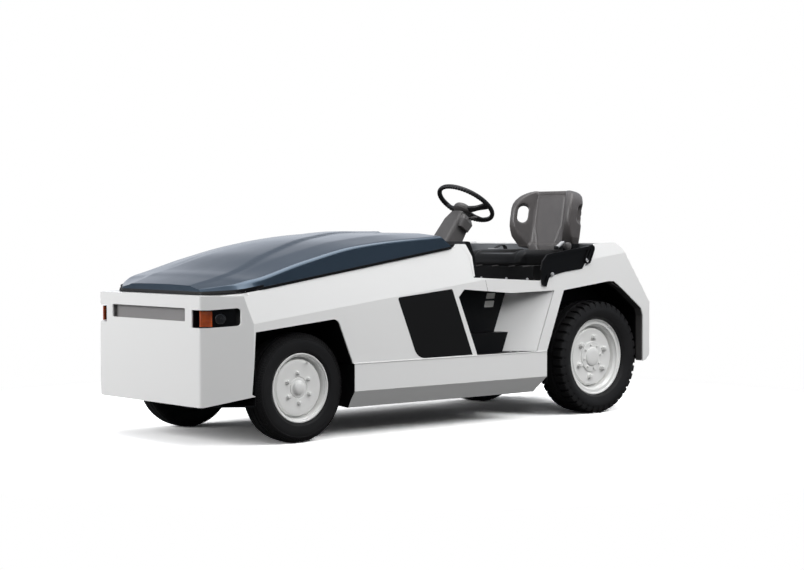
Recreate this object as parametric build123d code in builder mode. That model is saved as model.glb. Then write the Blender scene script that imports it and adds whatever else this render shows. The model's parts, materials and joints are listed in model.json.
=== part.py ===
from build123d import *
import os
from math import cos, radians, sin, sqrt, tan

# Electric tow tractor for airport baggage trains, in millimetres.
# +X points forward, +Y to the driver's left and +Z up.
# The origin lies on the ground under the middle of the overall length and width.

# Body outline
half_width = 645.0
nose_x = 1730.0
tail_x = -1590.0
hitch_tip_x = -1730.0
plate = 8.0
fold_front = (1498.0, 651.0)
fold_slope = -0.121
lean = 0.2

# Wheels
front_axle_x, front_radius = 1145.0, 295.0
rear_axle_x, rear_radius = -1173.0, 350.0
front_track_y, front_half_section = half_width - 135, 79.0
rear_track_y, rear_half_section = half_width - 148, 108.0
front_bead, front_flange = 172.0, 186.0
rear_bead, rear_flange = 205.0, 234.0
bead_half = 62.0
bead_gap = 0.3
seat_gap = 0.3
spindle_radius = 20.0
drive_shaft_radius = 30.0
bearing_gap = 0.05

# Nose box
nose_half = 487.0
nose_side_x = nose_x - 230
nose_bottom = 220.0
nose_top = 795.0
nose_corner_radius = 25.0
slot_half = nose_half - 132
slot_low, slot_high = 661.0, 730.0
lamp_start_y = nose_half - 70
lamp_end_x = nose_x - 177
lamp_low, lamp_high = 631.0, 723.0
lamp_depth = 42.0
lamp_rise = 12.0

# Side panels
panel_front_top = 812.0
panel_top_slope = -0.153
cowl_x = 85.0
sill_top = 413.0
front_arch_top = 2 * front_radius + 18
nose_rear_edge = [(1513.0, panel_front_top), (1488.0, front_arch_top), (1508.0, front_radius - 10)]
front_arch = [(1488.0, front_arch_top), (945.0, front_arch_top + 53), (838.0, sill_top)]
front_arch_radius = 45.0
rear_arch = [(-661.0, sill_top), (-806.0, 775.0), (-1208.0, 822.0), (-1254.0, 820.0),
             (-1337.0, 770.0), (-1512.0, 645.0), (-1528.0, 600.0), (-1530.0, 312.0)]
tail_outline = [(-1557.0, 318.0), (tail_x, 352.0), (tail_x, 684.0), (-1336.0, 1025.0),
                (-1276.0, 1062.0), (-1098.0, 1055.0)]
entry_outline = [(-1070.0, 1029.0), (-1047.0, 960.0), (-955.0, 907.0), (-810.0, 892.0),
                 (-689.0, 865.0), (-602.0, 836.0), (-63.0, 863.0), (-48.0, 985.0), (13.0, 1055.0)]
recess_outline = [(17.0, 797.0), (59.0, 754.0), (-87.0, 417.0), (-578.0, 417.0), (-724.0, 775.0),
                  (-360.0, 768.0)]

# Sills
sill_front_x, sill_rear_x = 830.0, -661.0
sill_fold_z, sill_bottom_z = 262.0, 168.0
sill_foot_y, sill_inner_y = half_width - 68, half_width - 175

# Steering
kingpin_y = front_track_y - 70
kingpin_radius = 14.0
kingpin_boss = 28.0
arm_back, arm_half = 110.0, 12.0
arm_level = front_radius - 67
tie_pin_radius = 8.0
driver_y = half_width - 405
wheel_centre = (-375.0, driver_y, 1300.0)
column_tilt = 34.5
wheel_rim_radius, wheel_grip = 174.0, 13.5
wheel_dish = 45.0

# Cabin
floor_top = 600.0
deck_top = 830.0
recess_wall_y = half_width - 208
bulkhead_x = 66.0
seat_front_x, seat_rear_x = -600.0, -1055.0
cushion_half = 255.0
base_top = 925.0
cushion_low, cushion_high = base_top + seat_gap, 1005.0
rear_wall_x = -1125.0
back_tilt = 10.0

# Hood: station x, bottom half width and height, crease half width and height,
# inner line half width and height, crown height
hood_stations = [
    (1650.0, nose_half - 107, 803.0, nose_half - 112, 823.0, nose_half - 167, 829.0, 836.0),
    (1594.0, nose_half - 5, 809.0, nose_half - 40, 838.0, nose_half - 148, 846.0, 853.0),
    (1535.0, half_width - 72, 818.0, half_width - 118, 854.0, half_width - 289, 863.0, 871.0),
    (1480.0, half_width - 46, 828.0, half_width - 78, 872.0, half_width - 270, 881.0, 889.0),
    (1410.0, half_width - 39, 840.0, half_width - 56, 888.0, half_width - 259, 899.0, 909.0),
    (1132.0, half_width - 39, 882.0, half_width - 55, 966.0, half_width - 255, 988.0, 1003.0),
    (757.0, half_width - 39, 940.0, half_width - 55, 1048.0, half_width - 250, 1070.0, 1085.0),
    (400.0, half_width - 39, 995.0, half_width - 55, 1082.0, half_width - 245, 1105.0, 1118.0),
    (85.0, half_width - 39, 1043.0, half_width - 55, 1100.0, half_width - 240, 1112.0, 1118.0),
]
crease_radius = 28.0
hood_wall = 6.0
hood_hinge = (1620.0, 815.0)
hood_hinge_y = nose_half - 187
hinge_pin_radius = 8.0

# Frame, power and running gear
rail_inner, rail_outer = 180.0, 240.0
rail_low, rail_high = front_radius + 85, front_radius + 165
liner_wall_y = half_width - 270
rear_rail_inner, rear_rail_outer = liner_wall_y - 125, liner_wall_y - 65
rear_rail_low, rear_rail_high = rear_radius + 50, rear_radius + 130
cradle_half = half_width - 205
cradle_wall_x, cradle_back_x = 812.0, -620.0
tray_low, tray_high = 200.0, 208.0
battery_front_x, battery_rear_x = 800.0, 110.0
battery_half, battery_top = cradle_half - 25, 840.0
beam_size = 60.0
spring_half = 300.0
leaf = 8.0

# Tow hitch
jaw_levels = (320.0, 400.0, 480.0)
jaw_plate = 14.0
jaw_half = 60.0
hitch_pin_x = -1680.0
hitch_pin_radius = 14.0
hitch_pin_gap = 0.5

os.makedirs("parts", exist_ok=True)


def store(builder, node):
    builder.part.label = node
    export_step(builder.part, f"parts/{node}.step")


def side_plane(y):
    # A sketch plane seen from the left: its first axis is +X, its second +Z, and it faces -Y.
    return Plane.XZ.offset(-y)


side_length = sqrt((nose_x - nose_side_x) ** 2 + (half_width - nose_half) ** 2)
side_nx = (half_width - nose_half) / side_length
side_ny = (nose_x - nose_side_x) / side_length


def nose_side_y(x, inset):
    # Half width of the slanted nose side at x, moved inward by inset.
    return nose_half + (-inset - (x - nose_x) * side_nx) / side_ny


def nose_side_at(y, inset):
    # The x at which the slanted nose side, moved inward by inset, is y wide.
    return nose_x + (-inset - (y - nose_half) * side_ny) / side_nx


def nose_plan(inset, rear_x):
    front = nose_x - inset
    corner = nose_side_y(front, inset)
    wide = half_width - inset
    knee = nose_side_at(wide, inset)
    left = [(front, corner), (knee, wide), (rear_x, wide)]
    right = [(x, -y) for x, y in reversed(left)]
    return left + right


def panel_top(x):
    return panel_front_top + panel_top_slope * (x - nose_rear_edge[0][0])


def lean_plane(side, inset):
    # The upper part of each flank leans inward above a fold that rises to the rear.
    direction = Vector(-lean * fold_slope, side, lean).normalized()
    origin = Vector(fold_front[0], side * half_width, fold_front[1]) - direction * inset
    return Plane(origin=origin, x_dir=(1, 0, fold_slope), z_dir=direction)


# Nose panel: front face, slanted sides and a narrow top ledge, open to the rear and below
with BuildPart() as nose_core:
    with BuildSketch(Plane.XY.offset(nose_bottom - 1)):
        Polygon(*nose_plan(plate, nose_side_x - 30), align=None)
    extrude(amount=nose_top - plate - nose_bottom + 1)
    split(bisect_by=lean_plane(1, plate), keep=Keep.BOTTOM)
    split(bisect_by=lean_plane(-1, plate), keep=Keep.BOTTOM)

opening_left = [(1660, nose_half - 95), (1632, nose_half - 71), (1594, nose_half - 19), (1535, half_width - 85),
                (1500, half_width - 59), (1460, half_width - 59)]
with BuildPart() as nose_panel:
    with BuildSketch(Plane.XY.offset(nose_bottom)):
        Polygon(*nose_plan(0.0, nose_side_x - 20), align=None)
    extrude(amount=nose_top - nose_bottom)
    fillet(edges().filter_by(Axis.Z).group_by(Axis.X)[-1], radius=nose_corner_radius)
    split(bisect_by=lean_plane(1, 0.0), keep=Keep.BOTTOM)
    split(bisect_by=lean_plane(-1, 0.0), keep=Keep.BOTTOM)
    add(nose_core.part, mode=Mode.SUBTRACT)
    # rear edge and rising lower edge of the side faces
    with BuildSketch(side_plane(half_width + 1)):
        Polygon((1400, 820), nose_rear_edge[0], nose_rear_edge[1], nose_rear_edge[2],
                (1490, 276), (1718, nose_bottom - 1), (1400, nose_bottom - 1), align=None)
    extrude(amount=2 * half_width + 2, mode=Mode.SUBTRACT)
    # hood opening behind the ledge
    with BuildSketch(Plane.XY.offset(nose_top + 1)):
        Polygon(*opening_left, *[(x, -y) for x, y in reversed(opening_left)], align=None)
    extrude(amount=-plate - 2, mode=Mode.SUBTRACT)
    # slot for the mesh
    with BuildSketch(Plane.YZ.offset(nose_x - plate - 2)):
        with Locations((0, (slot_low + slot_high) / 2)):
            RectangleRounded(2 * slot_half, slot_high - slot_low, 8)
    extrude(amount=plate + 4, mode=Mode.SUBTRACT)
    # lamp openings that wrap round the front corners
    for side in (1, -1):
        with BuildSketch(side_plane(side * half_width)):
            Polygon((nose_x + 40, lamp_low), (nose_x + 40, lamp_high), (nose_x - 40, lamp_high),
                    (lamp_end_x, lamp_high + lamp_rise), (lamp_end_x, lamp_low + lamp_rise),
                    (nose_x - 40, lamp_low), align=None)
            fillet(vertices().group_by(Axis.X)[0], radius=18)
        extrude(amount=side * (half_width - lamp_start_y), mode=Mode.SUBTRACT)
    # hinge lugs that reach under the hood's front wall from the ledge
    for side in (1, -1):
        with BuildSketch(side_plane(side * hood_hinge_y + 4)):
            Polygon((1690, nose_top - plate), (1658, nose_top - plate), (1646, nose_top - plate - 11),
                    (hood_hinge[0] - 8, nose_top - plate - 11), (hood_hinge[0], hood_hinge[1] - 8),
                    hood_hinge, (hood_hinge[0] - 11.5, hood_hinge[1]), (hood_hinge[0] - 22, nose_top - plate),
                    (hood_hinge[0] - 22, nose_top - plate - 25), (1652, nose_top - plate - 25), align=None)
            with Locations(hood_hinge):
                Circle(11.5)
                Circle(hinge_pin_radius + bearing_gap, mode=Mode.SUBTRACT)
        extrude(amount=8)
store(nose_panel, "nose_panel")

# Mesh insert set behind the slot
with BuildPart() as slot_mesh:
    with BuildSketch(Plane.YZ.offset(nose_x - plate - 22)):
        with Locations((0, (slot_low + slot_high) / 2)):
            Rectangle(2 * slot_half + 40, slot_high - slot_low + 30)
    extrude(amount=4)
    with BuildSketch(Plane.YZ.offset(nose_x - plate - 18)):
        with Locations((0, (slot_low + slot_high) / 2)):
            Rectangle(2 * slot_half + 40, slot_high - slot_low + 30)
            Rectangle(2 * slot_half + 16, slot_high - slot_low + 14, mode=Mode.SUBTRACT)
    extrude(amount=18)
store(slot_mesh, "slot_mesh")

# Lamp housings, turn lamps and round lamps, one of each behind both corner openings
housing_walls = [(plate, lamp_start_y - 10, lamp_end_x - 12, lamp_low - 10, lamp_high + lamp_rise + 10,
                  lamp_depth + 8, Mode.ADD),
                 (plate, lamp_start_y, lamp_end_x, lamp_low, lamp_high + lamp_rise, lamp_depth, Mode.SUBTRACT)]
with BuildPart() as lamp_housings:
    for outer, start_y, end_x, low, high, depth, mode in housing_walls:
        with BuildSketch(Plane.XY.offset(low)):
            Polygon((nose_x - outer, start_y), (nose_x - outer, nose_side_y(nose_x - outer, outer)),
                    (end_x, nose_side_y(end_x, outer)), (end_x, nose_side_y(end_x, depth)),
                    (nose_x - depth, nose_side_y(nose_x - depth, depth)), (nose_x - depth, start_y), align=None)
        extrude(amount=high - low, mode=mode)
    mirror(about=Plane.XZ)
store(lamp_housings, "lamp_housings")

with BuildPart() as turn_lamps:
    with BuildSketch(Plane.XY.offset(lamp_low + 6)):
        Polygon((nose_x - 14, nose_side_y(nose_x - 14, 14) - 12), (nose_x - 14, nose_side_y(nose_x - 14, 14)),
                (nose_x - 62, nose_side_y(nose_x - 62, 14)), (nose_x - 62, nose_side_y(nose_x - 62, lamp_depth)),
                (nose_x - lamp_depth, nose_side_y(nose_x - lamp_depth, lamp_depth)),
                (nose_x - lamp_depth, nose_side_y(nose_x - 14, 14) - 12), align=None)
    extrude(amount=lamp_high - lamp_low - 12)
    mirror(about=Plane.XZ)
store(turn_lamps, "turn_lamps")

side_middle_x = nose_x - 112
lamp_plane = Plane(origin=(side_middle_x, nose_side_y(side_middle_x, lamp_depth), (lamp_low + lamp_high) / 2),
                   x_dir=(-side_ny, side_nx, 0), z_dir=(side_nx, side_ny, 0))
with BuildPart() as round_lamps:
    with BuildSketch(lamp_plane):
        Circle(30)
    extrude(amount=22)
    fillet(edges().filter_by(GeomType.CIRCLE).sort_by(Axis.Y)[-1:], radius=8)
    mirror(about=Plane.XZ)
store(round_lamps, "round_lamps")

# Side panels: one folded sheet with both arches, the boarding recess and the low entry edge
top_rear = (cowl_x - 15, panel_top(cowl_x - 15))
side_outline = (nose_rear_edge[:2] + front_arch[1:] + rear_arch + tail_outline + entry_outline + [top_rear])

with BuildPart() as panel_core:
    with BuildSketch(side_plane(half_width - plate)):
        Rectangle(4000, 3000)
    extrude(amount=120)
    split(bisect_by=lean_plane(1, plate), keep=Keep.BOTTOM)

with BuildPart() as side_panel_left:
    with BuildSketch(side_plane(half_width)) as side_sketch:
        Polygon(*side_outline, align=None)
        Polygon(*recess_outline, align=None, mode=Mode.SUBTRACT)
        with Locations((-332.5, sill_top)):
            Rectangle(491, 10, mode=Mode.SUBTRACT)
        arch_corner = side_sketch.vertices().sort_by_distance((front_arch[1][0], half_width, front_arch[1][1]))[0]
        fillet(arch_corner, radius=front_arch_radius)
    extrude(amount=90)
    split(bisect_by=lean_plane(1, 0.0), keep=Keep.BOTTOM)
    add(panel_core.part, mode=Mode.SUBTRACT)
store(side_panel_left, "side_panel_left")

with BuildPart() as side_panel_right:
    mirror(side_panel_left.part, about=Plane.XZ)
store(side_panel_right, "side_panel_right")

# Sills: closed box sections with a lower face that tucks under
with BuildPart() as sills:
    with BuildSketch(Plane.YZ.offset(sill_rear_x)):
        Polygon((sill_inner_y, sill_bottom_z), (sill_foot_y, sill_bottom_z), (half_width, sill_fold_z),
                (half_width, sill_top), (sill_inner_y, sill_top), align=None)
    extrude(amount=sill_front_x - sill_rear_x)
    with BuildSketch(side_plane(half_width + 1)):
        Polygon((sill_rear_x - 1, sill_fold_z), (sill_rear_x - 1, sill_bottom_z - 1),
                (sill_rear_x + 48, sill_bottom_z - 1), align=None)
    extrude(amount=half_width - sill_inner_y + 2, mode=Mode.SUBTRACT)
    # the front end slopes in plan to clear the steered tyre
    with BuildSketch(Plane.XY.offset(sill_bottom_z - 1)):
        Polygon((sill_front_x + 1, sill_inner_y - 1), (sill_front_x + 1, half_width - 30),
                (sill_front_x - 30, sill_inner_y + 20), (sill_front_x - 30, sill_inner_y - 1), align=None)
    extrude(amount=sill_top - sill_bottom_z + 2, mode=Mode.SUBTRACT)
    mirror(about=Plane.XZ)
store(sills, "sills")

# Boarding recesses: white slanted wall behind, black inner wall, step box, mat and top cap in front
recess_low, recess_high = 417.0, 775.0
wall_foot_out = Vector(-578.0, half_width - plate, recess_low)
wall_foot_in = Vector(-366.0, recess_wall_y + plate, recess_low)
wall_top_out = Vector(-724.0, half_width - plate, recess_high)
wall_top_in = wall_foot_in + (wall_top_out - wall_foot_out)
wall_normal = (wall_foot_in - wall_foot_out).cross(wall_top_out - wall_foot_out)
wall_plane = Plane(origin=wall_foot_out, x_dir=wall_foot_in - wall_foot_out, z_dir=wall_normal)
wall_points = [wall_plane.to_local_coords(point) for point in
               (wall_foot_out, wall_foot_in, wall_top_in, wall_top_out)]
with BuildPart() as step_walls:
    with BuildSketch(wall_plane):
        Polygon(*[(point.X, point.Y) for point in wall_points], align=None)
    extrude(amount=6)
    split(bisect_by=Plane.XZ.offset(-(half_width - plate)), keep=Keep.TOP)
    split(bisect_by=Plane.XZ.offset(-(recess_wall_y + plate)), keep=Keep.BOTTOM)
    split(bisect_by=Plane.XY.offset(recess_low), keep=Keep.TOP)
    mirror(about=Plane.XZ)
store(step_walls, "step_walls")

recess_cap_y = half_width - plate - 3
recess_slant = (wall_top_out.X - wall_foot_out.X) / (recess_high - recess_low)
with BuildPart() as behind_wall:
    with BuildSketch(wall_plane):
        Rectangle(2000, 2000)
    extrude(amount=400)
with BuildPart() as boarding_steps:
    # mat on the sill
    with BuildSketch(Plane.XY.offset(sill_top)):
        Polygon((60, recess_wall_y + plate), (60, half_width - plate), (wall_foot_out.X, half_width - plate),
                (wall_foot_in.X, recess_wall_y + plate), align=None)
    extrude(amount=recess_low - sill_top)
    # step box
    with BuildSketch(side_plane(half_width - 100)):
        Polygon((60, recess_low), (-385, recess_low), (-385 + 115 * recess_slant, 532), (60, 532), align=None)
    extrude(amount=half_width - 100 - recess_wall_y - plate)
    add(behind_wall.part, mode=Mode.SUBTRACT)
    # inner wall
    with BuildSketch(side_plane(recess_wall_y + plate)):
        Polygon((60, sill_top), (wall_foot_in.X, sill_top), (wall_top_in.X, recess_high),
                (-554, 836), (60, 836), align=None)
    extrude(amount=plate)
    # front end wall and top cap
    with Locations(Location((63, (recess_wall_y + recess_cap_y) / 2, (sill_top + 836) / 2))):
        Box(6, recess_cap_y - recess_wall_y, 836 - sill_top)
    with Locations(Location((-247, (recess_wall_y + recess_cap_y) / 2, 833))):
        Box(614, recess_cap_y - recess_wall_y, 6)
    mirror(about=Plane.XZ)
store(boarding_steps, "boarding_steps")

# Floor pan and toe board
with BuildPart() as floor_pan:
    with BuildSketch(side_plane(recess_wall_y)):
        Polygon((-554, floor_top - plate), (bulkhead_x, floor_top - plate), (bulkhead_x, 700),
                (bulkhead_x - 10, 700), (-30, floor_top), (-554, floor_top), align=None)
    extrude(amount=2 * recess_wall_y)
store(floor_pan, "floor_pan")

# Dash: bulkhead plate below a rounded pod that the column comes out of
with BuildPart() as dash_panel:
    with BuildSketch(side_plane(half_width - 55)) as dash_sketch:
        Polygon((75, 842), (75, 1096), (-60, 1078), (-118, 985), (-133, 870), (-115, 842), align=None)
        fillet(dash_sketch.vertices().group_by(Axis.X)[0], radius=25)
    extrude(amount=2 * (half_width - 55))
    with Locations(Location(((bulkhead_x + 75) / 2, 0, 721))):
        Box(75 - bulkhead_x, 2 * recess_wall_y, 242)
store(dash_panel, "dash_panel")

# Steering column: stalk, shroud and two levers
column_axis = Vector(-sin(radians(column_tilt)), 0, cos(radians(column_tilt)))
hub_point = Vector(*wheel_centre)


def column_plane(distance):
    # A plane square to the column, distance below the steering wheel's rim.
    return Plane(origin=hub_point - column_axis * distance, x_dir=(0, 1, 0), z_dir=column_axis)


hub_back, hub_gap = wheel_dish + 30.0, 0.3
shroud_top, shroud_base = hub_back + 10, 450.0
with BuildPart() as column_blank:
    with BuildSketch(column_plane(shroud_base)):
        with Locations((-10, 4)):
            RectangleRounded(164, 140, 22)
    with BuildSketch(column_plane(shroud_top + 60)):
        with Locations((0, 5)):
            RectangleRounded(136, 112, 22)
    with BuildSketch(column_plane(shroud_top)):
        with Locations((4, 2)):
            RectangleRounded(100, 88, 20)
    loft(ruled=True)
    # switch pod beside the levers
    with BuildSketch(column_plane(shroud_top + 100)):
        with Locations((64, 8)):
            RectangleRounded(66, 74, 14)
    with BuildSketch(column_plane(shroud_top + 50)):
        with Locations((66, 6)):
            RectangleRounded(72, 92, 18)
    with BuildSketch(column_plane(shroud_top + 16)):
        with Locations((50, 4)):
            RectangleRounded(60, 72, 16)
    loft(ruled=True)

with BuildPart() as steering_column:
    add(column_blank.part)
    add(dash_panel.part, mode=Mode.SUBTRACT)
    with BuildSketch(column_plane(shroud_top + 1)):
        Circle(22)
    extrude(amount=shroud_top + 1 - hub_back - hub_gap)
    # direction and turn levers
    for reach, drop, radius in ((95, 24, 7), (-82, 30, 6)):
        lever = Plane(origin=column_plane(shroud_top + drop).from_local_coords(Vector(0, 20, 0)),
                      x_dir=column_axis, z_dir=(0, 1 if reach > 0 else -1, 0.12))
        with BuildSketch(lever):
            Circle(radius)
        extrude(amount=abs(reach) + 45)
store(steering_column, "steering_column")

# Steering wheel: grip ring, dished spokes and hub
with BuildPart() as steering_wheel:
    with BuildSketch(Plane(origin=hub_point, x_dir=column_axis, z_dir=(0, -1, 0))):
        with Locations((0, wheel_rim_radius)):
            Circle(wheel_grip)
    revolve(axis=Axis(hub_point, column_axis))
    with BuildSketch(column_plane(hub_back)):
        Circle(38)
    extrude(amount=36, taper=10)
    for angle in (8, 172, 270):
        spoke_out = hub_point + (column_plane(0).x_dir * cos(radians(angle))
                                 + column_plane(0).y_dir * sin(radians(angle))) * (wheel_rim_radius - 4)
        spoke_in = hub_point - column_axis * (wheel_dish + 8)
        run = spoke_out - spoke_in
        with BuildSketch(Plane(origin=spoke_in, x_dir=column_axis.cross(run), z_dir=run)):
            RectangleRounded(30, 13, 5)
        extrude(amount=run.length)
store(steering_wheel, "steering_wheel")

# Pedals on arms from the bulkhead
with BuildPart() as pedals:
    for y, width, reach in ((driver_y - 70, 90, 150), (driver_y + 60, 70, 130)):
        with Locations(Location((bulkhead_x - reach / 2, y, 790))):
            Box(reach, 18, 14)
        with Locations(Location((bulkhead_x - reach + 8, y, 735))):
            Box(14, 18, 120)
        with Locations(Location((bulkhead_x - reach + 2, y, 690))):
            Box(10, width, 80)
store(pedals, "pedals")

# Seat deck with its front wall
with BuildPart() as seat_deck:
    with Locations(Location(((rear_wall_x - 560) / 2, 0, deck_top - plate / 2))):
        Box(-560 - rear_wall_x, 2 * (half_width - plate), plate)
    with Locations(Location((-557, 0, (floor_top - plate + deck_top) / 2))):
        Box(6, 2 * recess_wall_y, deck_top - floor_top + plate)
store(seat_deck, "seat_deck")

# Seat base: black full-width cover
with BuildPart() as seat_base:
    with BuildSketch(side_plane(half_width - 60)):
        Polygon((-600, deck_top), (-606, base_top), (rear_wall_x, base_top), (rear_wall_x, deck_top), align=None)
    extrude(amount=2 * (half_width - 60))
    fillet(edges().filter_by(Axis.Y).group_by(Axis.Z)[-1].sort_by(Axis.X)[-1:], radius=12)
store(seat_base, "seat_base")

# Seat cushion: plain soft solid with a raised bolster at each side
with BuildPart() as cushion_profile:
    with BuildSketch(side_plane(driver_y + cushion_half + 1)):
        with BuildLine():
            Polyline((seat_front_x - 80, cushion_high + 13), (seat_rear_x, cushion_high + 13),
                     (seat_rear_x, cushion_low), (seat_front_x, cushion_low), (seat_front_x, cushion_low + 15))
            ThreePointArc((seat_front_x, cushion_low + 15), (seat_front_x - 24, cushion_high - 14),
                          (seat_front_x - 80, cushion_high + 13))
        make_face()
    extrude(amount=2 * cushion_half + 2)
with BuildPart() as seat_cushion:
    with BuildSketch(Plane.YZ.offset(seat_rear_x)) as cushion_sketch:
        with BuildLine():
            Polyline((driver_y - cushion_half, cushion_high - 20), (driver_y - cushion_half, cushion_low),
                     (driver_y + cushion_half, cushion_low), (driver_y + cushion_half, cushion_high - 20))
            ThreePointArc((driver_y + cushion_half, cushion_high - 20), (driver_y + 215, cushion_high + 12),
                          (driver_y + 140, cushion_high - 10))
            Line((driver_y + 140, cushion_high - 10), (driver_y - 140, cushion_high - 10))
            ThreePointArc((driver_y - 140, cushion_high - 10), (driver_y - 215, cushion_high + 12),
                          (driver_y - cushion_half, cushion_high - 20))
        make_face()
    extrude(amount=seat_front_x - seat_rear_x)
    fillet(edges().filter_by(Axis.Z), radius=45)
    add(cushion_profile.part, mode=Mode.INTERSECT)
store(seat_cushion, "seat_cushion")

# Seat back: slab between two wings that sweep forward, each with an oval hand hole
back_height, back_half, back_depth, wing_reach = 362.0, 247.0, 50.0, 94.0
back_plane = Plane(origin=(seat_rear_x - 7, driver_y, cushion_high + 25), x_dir=(0, 1, 0),
                   z_dir=(cos(radians(back_tilt)), 0, sin(radians(back_tilt))))
with BuildPart() as back_outline:
    with BuildSketch(back_plane.offset(-back_depth - 1)):
        with BuildLine():
            Polyline((back_half, 262), (back_half, 60), (220, 0), (-220, 0), (-back_half, 60), (-back_half, 262))
            ThreePointArc((-back_half, 262), (-214, 334), (-130, back_height))
            Line((-130, back_height), (130, back_height))
            ThreePointArc((130, back_height), (214, 334), (back_half, 262))
        make_face()
    extrude(amount=back_depth + wing_reach + 2)
with BuildPart() as back_profile:
    with BuildSketch(Plane(origin=back_plane.from_local_coords(Vector(-back_half - 1, 0, 0)),
                           x_dir=back_plane.z_dir, z_dir=(0, -1, 0))):
        with BuildLine():
            ThreePointArc((10, 10), (76, 100), (wing_reach, 205))
            ThreePointArc((wing_reach, 205), (72, 296), (0, back_height + 1))
            Polyline((0, back_height + 1), (-back_depth - 1, back_height + 1), (-back_depth - 1, -1), (10, -1),
                     (10, 10))
        make_face()
    extrude(amount=-2 * back_half - 2)
with BuildPart() as seat_back:
    with BuildSketch(Plane(origin=back_plane.origin, x_dir=(0, -1, 0), z_dir=back_plane.y_dir)) as back_plan:
        with BuildLine():
            Polyline((-back_half, wing_reach), (-back_half, -22), (-215, -back_depth), (215, -back_depth),
                     (back_half, -22), (back_half, wing_reach), (208, wing_reach), (122, 0), (-122, 0),
                     (-208, wing_reach), close=True)
        make_face()
        fillet(back_plan.vertices(), radius=16)
    extrude(amount=back_height)
    add(back_outline.part, mode=Mode.INTERSECT)
    add(back_profile.part, mode=Mode.INTERSECT)
    for side in (1, -1):
        hole_axis = back_plane.z_dir * 0.74 - Vector(0, side * 0.67, 0)
        hole_centre = back_plane.from_local_coords(Vector(side * 192, 210, 32))
        with BuildSketch(Plane(origin=hole_centre, x_dir=back_plane.y_dir, z_dir=hole_axis)):
            SlotOverall(118, 66)
        extrude(amount=110, both=True, mode=Mode.SUBTRACT)
    # lower frame behind the cushion, down to the base
    with Locations(Location((seat_rear_x - seat_gap - 22.5, driver_y, (base_top + seat_gap + cushion_high + 45) / 2))):
        Box(45, 280, cushion_high + 45 - base_top - seat_gap)
store(seat_back, "seat_back")

# Hip guards beside the seat
guard_outline = [(-645, 800), (-612, 812), (-598, 900), (-612, 950), (-650, 990), (-700, 1000), (-1040, 1042),
                 (-1064, 1034), (-1020, 962), (-990, 940), (-962, 902), (-812, 886), (-690, 862), (-665, 850)]
with BuildPart() as hip_guards:
    with BuildSketch(side_plane(half_width + 5)):
        Polygon(*guard_outline, align=None)
    extrude(amount=5)
    with BuildSketch(side_plane(half_width + 12)):
        Polygon(*guard_outline, align=None)
        offset(amount=-18, mode=Mode.SUBTRACT)
        Polygon((-700, 840), (-1000, 840), (-1000, 985), (-720, 950), (-650, 905), align=None, mode=Mode.SUBTRACT)
    extrude(amount=10)
    mirror(about=Plane.XZ)
store(hip_guards, "hip_guards")

# Rear deck: upright wall behind the seat and flat cover between the fenders
with BuildPart() as rear_deck:
    with BuildSketch(side_plane(half_width)):
        Polygon((rear_wall_x, deck_top - plate), (rear_wall_x, 1050), (-1276, 1050), (-1276, 1042),
                (rear_wall_x - plate, 1042), (rear_wall_x - plate, deck_top - plate), align=None)
    extrude(amount=2 * half_width)
    split(bisect_by=Plane.XZ.offset(-(half_width - plate)), keep=Keep.TOP)
    split(bisect_by=Plane.XZ.offset(half_width - plate), keep=Keep.BOTTOM)
    split(bisect_by=lean_plane(1, plate), keep=Keep.BOTTOM)
    split(bisect_by=lean_plane(-1, plate), keep=Keep.BOTTOM)
store(rear_deck, "rear_deck")

# Tail panel: sloping and upright plate between the fenders
with BuildPart() as tail_panel:
    with BuildSketch(side_plane(half_width)):
        Polygon((-1276, 1056), (-1336, 1018), (tail_x, 680), (tail_x, 352), (-1566, 318), (-1556, 318),
                (tail_x + plate, 356), (tail_x + plate, 677), (-1330, 1012), (-1276, 1047), align=None)
    extrude(amount=2 * half_width)
    split(bisect_by=Plane.XZ.offset(-(half_width - plate)), keep=Keep.TOP)
    split(bisect_by=Plane.XZ.offset(half_width - plate), keep=Keep.BOTTOM)
    split(bisect_by=lean_plane(1, plate), keep=Keep.BOTTOM)
    split(bisect_by=lean_plane(-1, plate), keep=Keep.BOTTOM)
store(tail_panel, "tail_panel")

with BuildPart() as tail_lamps:
    for side in (1, -1):
        with Locations(Location((tail_x - 12, side * (half_width - 145), 590))):
            Box(24, 150, 70)
    fillet(edges().group_by(Axis.X)[0], radius=6)
store(tail_lamps, "tail_lamps")

# Arch liners
liner_low = 214
front_liner = [(1482, liner_low), (1482, front_arch_top + 4), (948, front_arch_top + 54), (826, sill_top),
               (806, front_radius + 35), (806, liner_low)]
rear_liner = [(-673, liner_low), (-673, sill_top), (-814, 776), (-1208, 824), (-1250, 822), (-1334, 772),
              (-1506, 645), (-1535, 600), (-1535, liner_low)]
sheet = 6.0
with BuildPart() as front_arch_liners:
    with BuildSketch(side_plane(half_width - plate)):
        Polygon(*front_liner, align=None)
        offset(amount=sheet, kind=Kind.INTERSECTION)
        Polygon(*front_liner, align=None, mode=Mode.SUBTRACT)
        with Locations((1145, 190)):
            Rectangle(900, 60, mode=Mode.SUBTRACT)
    extrude(amount=half_width - plate - rail_outer)
    with Locations(Location((815, (sill_inner_y - 3 + half_width) / 2, sill_top - 150))):
        Box(60, half_width - sill_inner_y + 3, 302, mode=Mode.SUBTRACT)
    with BuildSketch(side_plane(rail_outer + sheet)):
        Polygon((1482, rail_low), (1482, front_arch_top + 4), (948, front_arch_top + 54), (826, sill_top),
                (816, rail_low), align=None)
    extrude(amount=sheet)
    mirror(about=Plane.XZ)
store(front_arch_liners, "front_arch_liners")

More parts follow.
